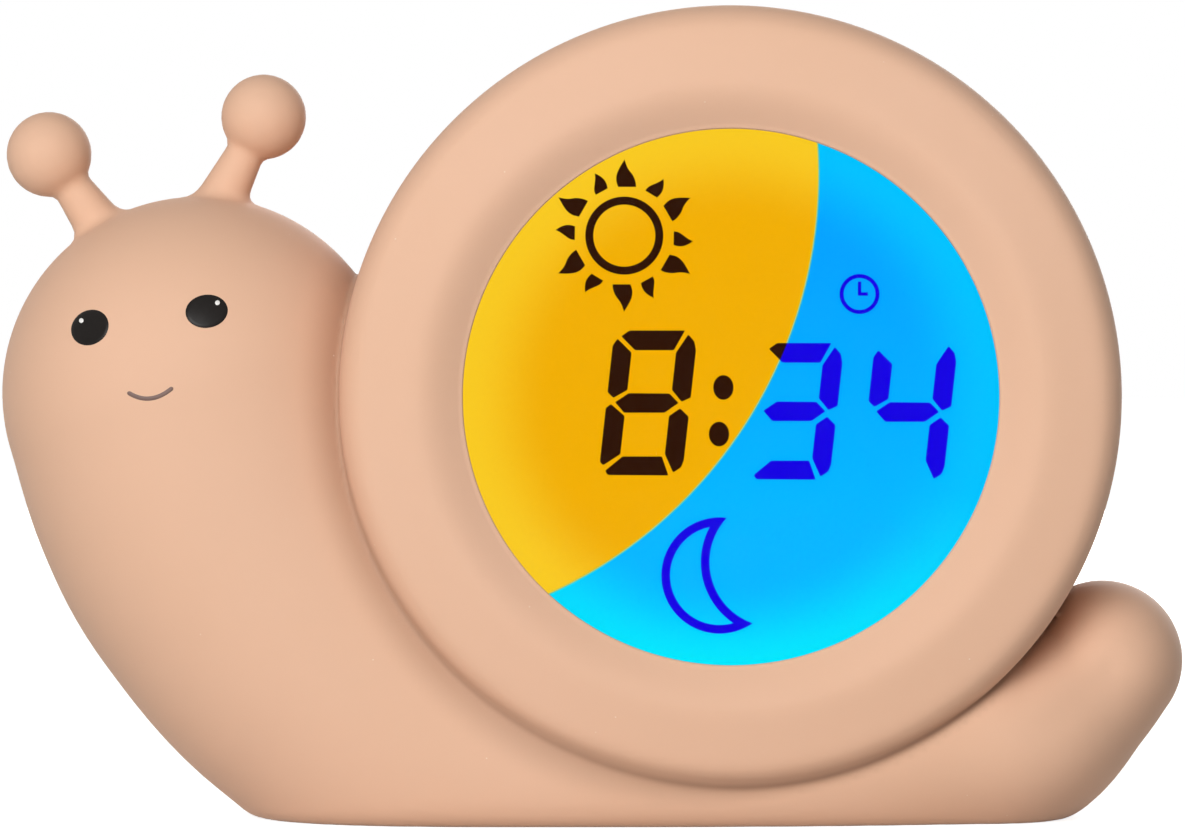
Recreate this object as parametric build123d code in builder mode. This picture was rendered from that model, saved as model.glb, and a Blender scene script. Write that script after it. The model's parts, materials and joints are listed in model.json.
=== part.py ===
"""Kids' alarm clock with night light, shaped as a snail.

A hollow silicone snail is stretched over a round two-part case. The case fills the shell and holds
a liquid crystal display over a light box with a day and a night half, the boards, a speaker,
three cells under a hinged door, five push buttons and a slide switch on its back panel.

Millimetres. +X runs from head to tail, +Z up, and the display faces -Y. The origin is on the
surface that the clock stands on, below the middle of the snail.
"""
from build123d import *
import math
import os

os.makedirs("parts", exist_ok=True)

# ---------------------------------------------------------------- driving dimensions: the snail
shell_x = 19.05             # centre of the round shell
shell_lift = 4.9            # lowest point of the shell above the floor
shell_wall = 3.55           # silicone round the case
ring_rise = 3.8             # the crest of the ring stands this far out of the case
ring_drop = 2.6             # from the crest down to the lip round the display
lip_slope = 0.6             # steepness of the dish at its lip
crest_inset = 10.0          # highest circle of the front ring, from the shell's edge
back_crest_width = 3.2      # highest circle of the back ring, from the opening's edge
shoulder_inset = 4.4        # where the ring starts to turn down
shoulder_drop = 1.1
rim_round_depth = 8.5       # of the rounded outer edge
rim_inset = 0.3             # the rim is a little smaller at its edges than in the middle
back_opening_gap = 0.4      # between the back panel and the silicone lip round it

skin = 4.0                  # wall of the hollow neck and foot
skin_fit = 0.15             # between the silicone and the case inside it
sole = 4.0                  # thickness of the foot's bottom
sole_round = 8.0

# The neck follows an arc on the left, the tail one on the right. Each station of the body is an
# ellipse across the arc's radius: angle on the arc, half-height across it, half-depth.
neck_arc_x, neck_arc_z, neck_arc_radius = 4.43, 72.1, 89.1
tail_arc_x, tail_arc_z, tail_arc_radius = 47.46, 33.6, 38.45
head_radius = 27.8
head_angle = 191.46
neck_stations = [(203.0, 27.6, 27.6), (214.0, 27.0, 27.2), (230.0, 26.0, 27.0), (250.0, 24.0, 27.0)]
belly_x, belly_z, belly_half_height, belly_half_depth = 15.0, 9.0, 20.0, 25.0
tail_stations = [(270.0, 17.0, 21.5), (300.0, 14.0, 17.5), (323.0, 11.8, 12.8)]
tail_angle = 335.5
tail_radius = 11.1

# Antennae: where each ball is, and where its stalk meets the head, from the head's centre.
antenna_ball_radius = 6.0
antenna_stalk_radius = 2.6
antenna_root_radius = 4.5
antenna_root_sink = 1.7      # the flare starts this far below the head's surface
antenna_root_length = 3.4
antenna_collar_radius = 3.3
antenna_embed = 2.5
antennae = [((-21.3, 33.8), (-14.2, 23.8)), ((9.1, 39.1), (3.1, 27.4))]

# ---------------------------------------------------------------- driving dimensions: the case
case_radius = 51.0
case_half_depth = 26.2
case_corner = 4.0
case_wall = 2.2
case_split = 2.0            # how far behind the middle the two halves meet
tongue_length = 2.0
tongue_thickness = 1.0
tongue_fit = 0.2
tongue_root = 3.8

window_border = 14.1        # of the case round what shows of the display
lens_thickness = 1.6
lens_overlap = 2.0          # of the lens under the silicone lip
lens_fit = 0.1
lens_bevel = 0.3
gasket_thickness = 0.4
ledge_inset = 0.2           # the ledge under the lens is this much larger than the window
ledge_thickness = 1.2

glass_margin = 4.3          # of the display glass hidden round the window
glass_thickness = 0.7
polariser_thickness = 0.2
front_polariser_inset = 1.0
rear_polariser_inset = 1.6
contact_ledge_width = 36.0
contact_ledge_step = 2.3    # the rear glass is longer than the front one here
stack_rib_fit = 0.3
stack_rib_thickness = 1.2
stack_rib_height = 3.5

# Day and night fields meet along an arc round a point left of and above the display's middle.
field_arc_x, field_arc_z, field_arc_radius = -51.5, 30.7, 63.7
field_seam = 0.1
diffuser_thickness = 1.2
diffuser_fit = 0.15
light_box_margin = 0.8      # the light box is this much larger than the glass
light_box_wall = 3.4
light_box_step = 1.9
partition_thickness = 1.2
led_pitch = 13.0
led_inset = 9.0             # of the outer lamps from the light box's edge
led_margin = 5.0
led_length, led_width, led_height = 3.5, 2.8, 1.0

main_board_front = 6.0      # height of its front face
board_thickness = 1.6
main_board_fit = 0.4        # between the board's edge and the case
chip_side, chip_height = 10.0, 1.4
chip_x, chip_z = -20.0, 12.0
crystal_radius, crystal_length = 1.6, 8.0
crystal_x, crystal_z = -6.0, 16.0
flex_thickness = 0.2
flex_width = 30.0
flex_gap = 0.3
flex_foot = 1.5
ribbon_width = 6.0
ribbon_thickness = 0.5
ribbon_x = -30.0

boss_inset = 3.6            # of the bosses from the inside of the case
boss_angle = 45.0
boss_radius = 3.0
column_radius = 3.4
column_floor = 8.4          # below the screw heads
screw_radius = 1.25
screw_fit = 0.05
screw_clearance = 0.25
screw_head_radius = 2.3
screw_head_height = 1.8
screw_head_fit = 0.3
screw_bite = 8.0

# ---------------------------------------------------------------- driving dimensions: back panel
panel_radius = 39.8
panel_raise = 1.4           # how far the panel stands out of the case
panel_thickness = 2.0
panel_round = 0.6

control_row_z = 13.2        # the row of buttons, above the middle of the panel
row_inset = 9.8             # first button of the row from the panel's edge
button_pitch = 10.0
button_radius = 3.2
button_fit = 0.2
button_proud = 1.3
button_round = 0.6
button_flange_radius = 4.1
button_flange_thickness = 1.0
button_flange_gap = 0.2
button_travel = 0.5
button_stem_radius = 1.6

tact_side = 6.0
tact_height = 3.5
plunger_radius = 1.75
plunger_fit = 0.1
plunger_reach = 1.3         # above the switch body
plunger_depth = 0.8         # inside the switch body
plunger_spare = 0.1

button_board_width = 7.6
button_board_face = 7.2     # below the inside of the panel
board_post_gap = 7.0        # from the first button to the post beside it
board_post_inset = 2.6      # of the posts from the board's ends
board_post_radius = 2.4
board_screw_radius = 1.0
board_screw_head_radius = 1.9
board_screw_head_height = 1.4
board_screw_bite = 4.5

switch_inset = 10.3         # middle of the slide switch from the panel's edge
switch_gap = 9.5            # from the slide switch to the button beside it
switch_travel = 3.4
switch_length, switch_width, switch_height = 8.6, 4.4, 3.5
switch_knob_length, switch_knob_width = 3.2, 3.0
switch_knob_proud = 1.1
switch_knob_fit = 0.25
switch_flange_length, switch_flange_width, switch_flange_thickness = 5.2, 4.6, 0.9
switch_lever = 1.8
switch_lever_depth = 1.5
switch_rib_width = 0.4

speaker_rise = 15.0         # of the speaker above the row of buttons
speaker_radius = 9.5
speaker_flange_thickness = 1.0
speaker_ring_width = 1.6
speaker_basket_height = 3.2
speaker_gasket_thickness = 0.6
speaker_magnet_radius = 5.5
speaker_magnet_height = 3.0
speaker_cone_wall = 0.4
speaker_fence_fit = 0.2
speaker_fence_thickness = 1.2
speaker_fence_height = 3.4
grille_radius = 7.6
grille_pitch = 2.7
grille_slot = 1.3
grille_rows = 5

# ---------------------------------------------------------------- driving dimensions: cells, door
cell_radius = 5.25
cell_length = 44.5
cell_nub_radius = 1.9
cell_nub_length = 0.9
cell_pitch = 10.9
cell_row_z = -9.0           # middle of the row of cells
cell_count = 3
cell_cover_gap = 0.55       # between the cells and the door
cell_floor_gap = 0.05
bay_wall = 1.5
bay_end_gap = 0.25          # beyond the cells, above and below the row
spring_length = 4.0
spring_wire_radius = 0.35
spring_turns = 3
spring_radius = 3.2
spring_gap = 0.05
contact_thickness = 0.4
contact_width, contact_height = 8.4, 8.6
contact_dimple = 1.2
contact_dimple_radius = 2.4
contact_gap = 0.1

door_thickness = 1.8
door_fit = 0.2
door_corner = 3.0
hinge_radius = 1.7
hinge_pin_radius = 0.9
hinge_pin_fit = 0.05
hinge_pin_length = 1.4
hinge_z = -26.2
door_lug_radius = 4.0
door_lug_rise = 0.9         # of the lug's middle above the door's top edge
door_screw_radius = 1.0
door_screw_fit = 0.25
door_screw_bite = 3.5
door_screw_head_radius = 2.1
door_screw_head_height = 0.9
screw_boss_radius = 2.6
screw_boss_height = 6.6
slot_width = 0.6            # of the screwdriver slots
slot_depth = 0.5

# ---------------------------------------------------------------- planes and derived heights
# Heights on the case are measured from its middle towards the display.
shell_radius = case_radius + skin_fit + shell_wall
shell_z = shell_lift + shell_radius
shell_centre = (shell_x, 0, shell_z)
front = Plane(origin=shell_centre, x_dir=(1, 0, 0), z_dir=(0, -1, 0))
half_section = Plane(origin=shell_centre, x_dir=(1, 0, 0), z_dir=(0, 0, -1))
shell_axis = Axis(shell_centre, (0, -1, 0))

lens_front = case_half_depth
lens_back = lens_front - lens_thickness
ledge_top = lens_back - gasket_thickness
ledge_bottom = ledge_top - ledge_thickness
front_glass_top = ledge_bottom - polariser_thickness
rear_glass_top = front_glass_top - glass_thickness
rear_glass_bottom = rear_glass_top - glass_thickness
diffuser_top = rear_glass_bottom - polariser_thickness - field_seam
diffuser_bottom = diffuser_top - diffuser_thickness
main_board_back = main_board_front - board_thickness
window_radius = case_radius - window_border
ledge_radius = window_radius + ledge_inset
lens_radius = window_radius + lens_overlap
case_inner_radius = case_radius - case_wall
case_inner_face = case_half_depth - case_wall
glass_radius = window_radius + glass_margin
light_box_radius = glass_radius + light_box_margin
stack_rib_radius = light_box_radius + stack_rib_fit

panel_face = -(case_half_depth + panel_raise)
panel_inside = panel_face + panel_thickness
board_face = panel_inside + button_board_face
board_front = board_face + board_thickness
tact_face = board_face - tact_height
first_button_x = row_inset - panel_radius
switch_x = panel_radius - switch_inset
last_button_x = switch_x - switch_gap
board_post_x = board_post_gap - first_button_x
button_board_length = 2 * (board_post_x + board_post_inset)
button_places = {"time": first_button_x, "alarm": first_button_x + button_pitch,
                 "light": first_button_x + 2 * button_pitch, "minus": last_button_x - button_pitch,
                 "plus": last_button_x}
speaker_z = control_row_z + speaker_rise

door_inside = panel_face + door_thickness
hinge_height = panel_face + hinge_radius
cell_height = door_inside + cell_cover_gap + cell_radius
bay_floor = cell_height + cell_radius + cell_floor_gap
bay_half_length = cell_length / 2 + (spring_length + contact_dimple + contact_gap) / 2 + contact_thickness
cell_row_half = (cell_count - 1) * cell_pitch / 2 + cell_radius + bay_end_gap
bay_top = cell_row_z + cell_row_half
bay_bottom = cell_row_z - cell_row_half
hinge_trough = hinge_z - hinge_radius - door_fit
door_top = bay_top + bay_wall
door_lug_z = door_top + door_lug_rise
door_half_length = bay_half_length - door_fit


def cylinder_between(plane, low, high, radius, places=((0, 0),)):
    """Round bars along the plane's normal, from the height low to the height high."""
    with BuildPart() as bars:
        with BuildSketch(plane.offset(low)):
            with Locations(*places):
                Circle(radius)
        extrude(amount=high - low)
    return bars.part


def block_between(plane, low, high, length, width, places=((0, 0),), corner=0.0):
    """Blocks along the plane's normal, from the height low to the height high."""
    with BuildPart() as blocks:
        with BuildSketch(plane.offset(low)):
            with Locations(*places):
                if corner:
                    RectangleRounded(length, width, corner)
                else:
                    Rectangle(length, width)
        extrude(amount=high - low)
    return blocks.part


def door_outline(height, low_edge, grow):
    """The door's outline, or its opening's, with round top corners and the lug for the screw."""
    with BuildSketch(front.offset(height)) as outline:
        with Locations((0, low_edge)):
            Rectangle(2 * (door_half_length + grow), door_top + grow - low_edge,
                      align=(Align.CENTER, Align.MIN))
        fillet(outline.vertices().sort_by(Axis.Y)[-2:], door_corner + grow)
        with Locations((0, door_lug_z)):
            Circle(door_lug_radius + grow)
    return outline.sketch


def slotted_screw(shank_radius, head_radius, head_height, under_head, tip, place):
    """A screw along the front plane's normal: its head outside under_head, its tip further in."""
    head_side = math.copysign(1, under_head - tip)
    head_top = under_head + head_side * head_height
    with BuildPart() as screw:
        with BuildSketch(front.offset(under_head)):
            with Locations(place):
                Circle(head_radius)
        extrude(amount=head_side * head_height)
        with BuildSketch(front.offset(under_head)):
            with Locations(place):
                Circle(shank_radius)
        extrude(amount=tip - under_head)
        with BuildSketch(front.offset(head_top)):
            with Locations(place):
                Rectangle(2 * head_radius, slot_width)
        extrude(amount=-head_side * slot_depth, mode=Mode.SUBTRACT)
    return screw.part


def save(part, node):
    """Label a finished piece and write it under its node's name."""
    part.label = node
    export_step(part, f"parts/{node}.step")


# ---------------------------------------------------------------- silicone body
def on_arc(arc_x, arc_z, arc_radius, angle, half_height, half_depth):
    """A station whose outer end lies on the arc: its centre, direction and half-sizes."""
    reach = arc_radius - half_height
    centre_x = arc_x + reach * math.cos(math.radians(angle))
    centre_z = arc_z + reach * math.sin(math.radians(angle))
    return centre_x, centre_z, angle, half_height, half_depth


neck_arc = (neck_arc_x, neck_arc_z, neck_arc_radius)
tail_arc = (tail_arc_x, tail_arc_z, tail_arc_radius)
head_station = on_arc(*neck_arc, head_angle, head_radius, head_radius)
tail_station = on_arc(*tail_arc, tail_angle, tail_radius, tail_radius)
body_stations = [head_station]
body_stations += [on_arc(*neck_arc, *station) for station in neck_stations]
body_stations += [(belly_x, belly_z, 270.0, belly_half_height, belly_half_depth)]
body_stations += [on_arc(*tail_arc, *station) for station in tail_stations]
body_stations += [tail_station]
head_x, head_z = head_station[:2]


def body_sections(inset):
    """The ellipses across the body, each made smaller all round by inset."""
    faces = []
    for centre_x, centre_z, angle, half_height, half_depth in body_stations:
        along = (-math.sin(math.radians(angle)), 0, math.cos(math.radians(angle)))
        across = Plane(origin=(centre_x, 0, centre_z), x_dir=(0, 1, 0), z_dir=along)
        with BuildSketch(across) as section:
            Ellipse(half_depth - inset, half_height - inset)
        faces.append(section.sketch.face())
    return faces


def end_cap(station, inset, turn):
    """Half a ball that closes the body at its first (turn 1) or last (turn -1) station."""
    centre_x, centre_z, angle, radius, _ = station
    outward = (math.cos(math.radians(angle)), 0, math.sin(math.radians(angle)))
    along = (-math.sin(math.radians(angle)), 0, math.cos(math.radians(angle)))
    with BuildPart() as cap:
        with BuildSketch(Plane(origin=(centre_x, 0, centre_z), x_dir=outward, z_dir=along)):
            Circle(radius - inset)
            Rectangle(radius, 2 * radius, align=(Align.MAX, Align.CENTER), mode=Mode.SUBTRACT)
        revolve(axis=Axis((centre_x, 0, centre_z), (0, turn, 0)), revolution_arc=180)
    return cap.part


def slug(inset, floor, floor_round):
    """Head, neck, foot and tail without the shell, cut flat at floor."""
    with BuildPart() as body:
        loft(sections=body_sections(inset))
        add(end_cap(head_station, inset, 1))
        add(end_cap(tail_station, inset, -1))
        split(bisect_by=Plane.XY.offset(floor), keep=Keep.TOP)
        if floor_round:
            fillet(body.faces().sort_by(Axis.Z)[0].edges(), floor_round)
    return body.part


def antenna(ball, root):
    """One antenna, turned about its own axis: flared root, thin stalk, collar and ball."""
    axis_x, axis_z = ball[0] - root[0], ball[1] - root[1]
    length = math.hypot(axis_x, axis_z)
    start = (head_x + root[0], 0, head_z + root[1])
    along = Vector(axis_x / length, 0, axis_z / length)
    turning = Plane(origin=start, x_dir=(0, 1, 0), z_dir=Vector(0, 1, 0).cross(along))
    collar_height = math.sqrt(antenna_ball_radius ** 2 - antenna_collar_radius ** 2)
    with BuildPart() as stalk_and_ball:
        with BuildSketch(turning):
            with BuildLine():
                base = Line((0, -antenna_embed), (antenna_root_radius, -antenna_root_sink))
                flare = Spline(base @ 1, (antenna_stalk_radius, antenna_root_length),
                               tangents=[(-0.6, 1), (0, 1)])
                collar = Spline(flare @ 1, (antenna_collar_radius, length - collar_height),
                                tangents=[(0, 1), (0.8, 1)])
                Polyline(collar @ 1, (0, length - collar_height), (0, -antenna_embed))
            make_face()
        revolve(axis=Axis(start, along))
        with Locations((head_x + ball[0], 0, head_z + ball[1])):
            Sphere(antenna_ball_radius)
    return stalk_and_ball.part


shell_half_depth = case_half_depth + ring_rise
lip_height = shell_half_depth - ring_drop
shoulder_height = shell_half_depth - shoulder_drop
rim_half_width = shell_half_depth - rim_round_depth
rim_radius = shell_radius - rim_inset
shoulder_radius = shell_radius - shoulder_inset
crest_radius = shell_radius - crest_inset
back_opening_radius = panel_radius + back_opening_gap
back_crest_radius = back_opening_radius + back_crest_width

slug_outside = slug(0, 0, sole_round)
slug_hollow = slug(skin, sole, 0)

with BuildPart() as silicone_body:
    add(slug_outside)
    # The shell: a disc with a soft crest on each face that dips to a lip round each opening.
    with BuildSketch(half_section):
        with BuildLine():
            spine = Line((0, -case_half_depth), (0, case_half_depth))
            floor_line = Polyline(spine @ 1, (window_radius, case_half_depth), (window_radius, lip_height))
            dish = Spline(floor_line @ 1, (crest_radius, shell_half_depth),
                          tangents=[(1, lip_slope), (1, 0)])
            edge = Spline(dish @ 1, (shoulder_radius, shoulder_height), (rim_radius, rim_half_width),
                          tangents=[(1, 0), (0, -1)])
            rim = ThreePointArc(edge @ 1, (shell_radius, 0), (rim_radius, -rim_half_width))
            back_edge = Spline(rim @ 1, (shoulder_radius, -shoulder_height),
                               (back_crest_radius, -shell_half_depth), tangents=[(0, -1), (-1, 0)])
            back_dish = Spline(back_edge @ 1, (back_opening_radius, -lip_height),
                               tangents=[(-1, 0), (-1, lip_slope)])
            Polyline(back_dish @ 1, (back_opening_radius, -case_half_depth), spine @ 0)
        make_face()
    revolve(axis=shell_axis)
    for ball_place, root_place in antennae:
        add(antenna(ball_place, root_place))
    # Hollow neck and foot, then the round pocket for the case and its two openings.
    add(slug_hollow, mode=Mode.SUBTRACT)
    with BuildSketch(half_section):
        pocket_height = case_half_depth + skin_fit
        pocket_radius = case_radius + skin_fit
        with BuildLine():
            pocket_floor = Polyline((0, -pocket_height), (pocket_radius - case_corner, -pocket_height))
            low_corner = RadiusArc(pocket_floor @ 1, (pocket_radius, case_corner - pocket_height),
                                   -case_corner)
            pocket_wall = Line(low_corner @ 1, (pocket_radius, pocket_height - case_corner))
            high_corner = RadiusArc(pocket_wall @ 1, (pocket_radius - case_corner, pocket_height),
                                    -case_corner)
            Polyline(high_corner @ 1, (0, pocket_height), (0, -pocket_height))
        make_face()
    revolve(axis=shell_axis, mode=Mode.SUBTRACT)
    with BuildSketch(front):
        Circle(window_radius)
    extrude(amount=shell_half_depth, mode=Mode.SUBTRACT)
    with BuildSketch(front):
        Circle(back_opening_radius)
    extrude(amount=-shell_half_depth, mode=Mode.SUBTRACT)
save(silicone_body.part, "silicone_body")

# ---------------------------------------------------------------- front housing
boss_circle_radius = case_inner_radius - boss_inset
boss_places = [(boss_circle_radius * math.cos(math.radians(boss_angle + 90 * quarter)),
                boss_circle_radius * math.sin(math.radians(boss_angle + 90 * quarter)))
               for quarter in range(4)]
inner_corner = case_corner - case_wall

with BuildPart() as front_housing:
    with BuildSketch(half_section):
        with BuildLine():
            outer_wall = Line((case_radius, -case_split), (case_radius, case_half_depth - case_corner))
            outer_round = RadiusArc(outer_wall @ 1, (case_radius - case_corner, case_half_depth),
                                    -case_corner)
            lens_seat = Polyline(
                outer_round @ 1,
                (lens_radius + lens_fit, case_half_depth),
                (lens_radius + lens_fit, ledge_top),
                (ledge_radius, ledge_top),
                (ledge_radius, ledge_bottom),
                (stack_rib_radius, ledge_bottom),
                (stack_rib_radius, ledge_bottom - stack_rib_height),
                (stack_rib_radius + stack_rib_thickness, ledge_bottom - stack_rib_height),
                (stack_rib_radius + stack_rib_thickness, case_inner_face),
                (case_inner_radius - inner_corner, case_inner_face))
            inner_round = RadiusArc(lens_seat @ 1, (case_inner_radius, case_inner_face - inner_corner),
                                    inner_corner)
            Polyline(inner_round @ 1, (case_inner_radius, -case_split), (case_radius, -case_split))
        make_face()
    revolve(axis=shell_axis)
    # Bosses that carry the main board and take the housing screws.
    with BuildSketch(front.offset(main_board_front)):
        with Locations(*boss_places):
            Circle(boss_radius)
    extrude(amount=case_inner_face - main_board_front)
    with BuildSketch(front.offset(main_board_front)):
        with Locations(*boss_places):
            Circle(screw_radius + screw_fit)
    extrude(amount=screw_bite + screw_fit, mode=Mode.SUBTRACT)
    # Gap in the rib for the contact ledge of the display glass.
    with BuildSketch(front.offset(ledge_bottom)):
        Rectangle(contact_ledge_width + 2 * stack_rib_fit, stack_rib_radius + 2 * stack_rib_thickness,
                  align=(Align.CENTER, Align.MAX))
    extrude(amount=-stack_rib_height, mode=Mode.SUBTRACT)
save(front_housing.part, "front_housing")

# ---------------------------------------------------------------- lens and gasket
with BuildPart() as display_lens:
    add(cylinder_between(front, lens_back, lens_front, lens_radius))
    chamfer(display_lens.edges().filter_by(GeomType.CIRCLE).sort_by(Axis.Y)[0], lens_bevel)
save(display_lens.part, "display_lens")

with BuildPart() as lens_gasket:
    with BuildSketch(front.offset(ledge_top)):
        Circle(lens_radius)
        Circle(ledge_radius, mode=Mode.SUBTRACT)
    extrude(amount=gasket_thickness)
save(lens_gasket.part, "lens_gasket")

# ---------------------------------------------------------------- display glass
front_polariser = cylinder_between(front, front_glass_top, ledge_bottom,
                                   glass_radius - front_polariser_inset)
save(front_polariser, "front_polariser")
save(cylinder_between(front, rear_glass_top, front_glass_top, glass_radius), "lcd_front_glass")

contact_ledge_reach = glass_radius + contact_ledge_step
with BuildPart() as lcd_rear_glass:
    with BuildSketch(front.offset(rear_glass_bottom)):
        Circle(glass_radius)
        Rectangle(contact_ledge_width, contact_ledge_reach, align=(Align.CENTER, Align.MAX))
    extrude(amount=glass_thickness)
save(lcd_rear_glass.part, "lcd_rear_glass")

rear_polariser = cylinder_between(front, rear_glass_bottom - polariser_thickness, rear_glass_bottom,
                                  glass_radius - rear_polariser_inset)
save(rear_polariser, "rear_polariser")

# ---------------------------------------------------------------- light box and diffusers
diffuser_radius = light_box_radius - light_box_step - diffuser_fit
field_centre = (field_arc_x, field_arc_z)

with BuildPart() as day_diffuser:
    with BuildSketch(front.offset(diffuser_bottom)):
        Circle(diffuser_radius)
        with Locations(field_centre):
            Circle(field_arc_radius - field_seam / 2, mode=Mode.INTERSECT)
    extrude(amount=diffuser_thickness)
save(day_diffuser.part, "day_diffuser")

with BuildPart() as night_diffuser:
    with BuildSketch(front.offset(diffuser_bottom)):
        Circle(diffuser_radius)
        with Locations(field_centre):
            Circle(field_arc_radius + field_seam / 2, mode=Mode.SUBTRACT)
    extrude(amount=diffuser_thickness)
save(night_diffuser.part, "night_diffuser")

with BuildPart() as light_box:
    with BuildSketch(front.offset(main_board_front)):
        Circle(light_box_radius)
        Circle(light_box_radius - light_box_wall, mode=Mode.SUBTRACT)
    extrude(amount=rear_glass_bottom - main_board_front)
    # The curved partition between the two fields.
    with BuildSketch(front.offset(main_board_front)):
        with Locations(field_centre):
            Circle(field_arc_radius + partition_thickness / 2)
            Circle(field_arc_radius - partition_thickness / 2, mode=Mode.SUBTRACT)
        Circle(light_box_radius - light_box_wall / 2, mode=Mode.INTERSECT)
    extrude(amount=diffuser_bottom - main_board_front)
    # Step that the diffusers lie on.
    with BuildSketch(front.offset(diffuser_bottom)):
        Circle(light_box_radius - light_box_step)
    extrude(amount=rear_glass_bottom - diffuser_bottom, mode=Mode.SUBTRACT)
save(light_box.part, "light_box")

# ---------------------------------------------------------------- main board and what it carries
with BuildPart() as main_board:
    with BuildSketch(front.offset(main_board_back)):
        Circle(case_inner_radius - main_board_fit)
        with Locations(*boss_places):
            Circle(screw_radius + screw_clearance, mode=Mode.SUBTRACT)
    extrude(amount=board_thickness)
save(main_board.part, "main_board")

led_field_radius = light_box_radius - led_inset
led_steps = int(led_field_radius // led_pitch) + 1
day_led_places = []
night_led_places = []
for column in range(-led_steps, led_steps + 1):
    for row in range(-led_steps, led_steps + 1):
        led_x, led_z = column * led_pitch, row * led_pitch
        from_field_centre = math.hypot(led_x - field_arc_x, led_z - field_arc_z)
        if math.hypot(led_x, led_z) > led_field_radius:
            continue
        if from_field_centre < field_arc_radius - led_margin:
            day_led_places.append((led_x, led_z))
        if from_field_centre > field_arc_radius + led_margin:
            night_led_places.append((led_x, led_z))

led_top = main_board_front + led_height
save(block_between(front, main_board_front, led_top, led_length, led_width, day_led_places), "day_leds")
save(block_between(front, main_board_front, led_top, led_length, led_width, night_led_places),
     "night_leds")

with BuildPart() as controller_chip:
    add(block_between(front, main_board_back - chip_height, main_board_back, chip_side, chip_side,
                      [(chip_x, chip_z)]))
    chamfer(controller_chip.faces().sort_by(Axis.Y)[-1].edges(), chip_height / 4)
save(controller_chip.part, "controller_chip")

with BuildPart() as crystal:
    with BuildSketch(Plane(origin=(shell_x + crystal_x, crystal_radius - main_board_back, shell_z + crystal_z),
                           z_dir=(1, 0, 0))):
        Circle(crystal_radius)
    extrude(amount=crystal_length / 2, both=True)
save(crystal.part, "crystal")

# Flat flex from the front of the glass ledge, round its edge and back to the board.
flex_front = rear_glass_top + flex_thickness / 2
flex_drop = contact_ledge_reach + flex_gap
flex_back = main_board_front + flex_thickness / 2
with BuildPart() as display_flex:
    with BuildSketch(Plane(origin=shell_centre, x_dir=(0, -1, 0), z_dir=(-1, 0, 0))):
        with BuildLine():
            Polyline((flex_front, -flex_drop + flex_foot), (flex_front, -flex_drop),
                     (flex_back, -flex_drop), (flex_back, -flex_drop - flex_foot))
            offset(amount=flex_thickness / 2)
        make_face()
    extrude(amount=flex_width / 2, both=True)
save(display_flex.part, "display_flex")

ribbon = block_between(front, board_front, main_board_back, ribbon_width, ribbon_thickness,
                       [(ribbon_x, control_row_z)])
save(ribbon, "board_ribbon")

# ---------------------------------------------------------------- rear housing
control_row = [(place, control_row_z) for place in button_places.values()]
post_places = [(-board_post_x, control_row_z), (board_post_x, control_row_z)]
column_start = main_board_back
screw_seat = column_start - column_floor
speaker_place = (0, speaker_z)
lug_place = (0, door_lug_z)

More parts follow.
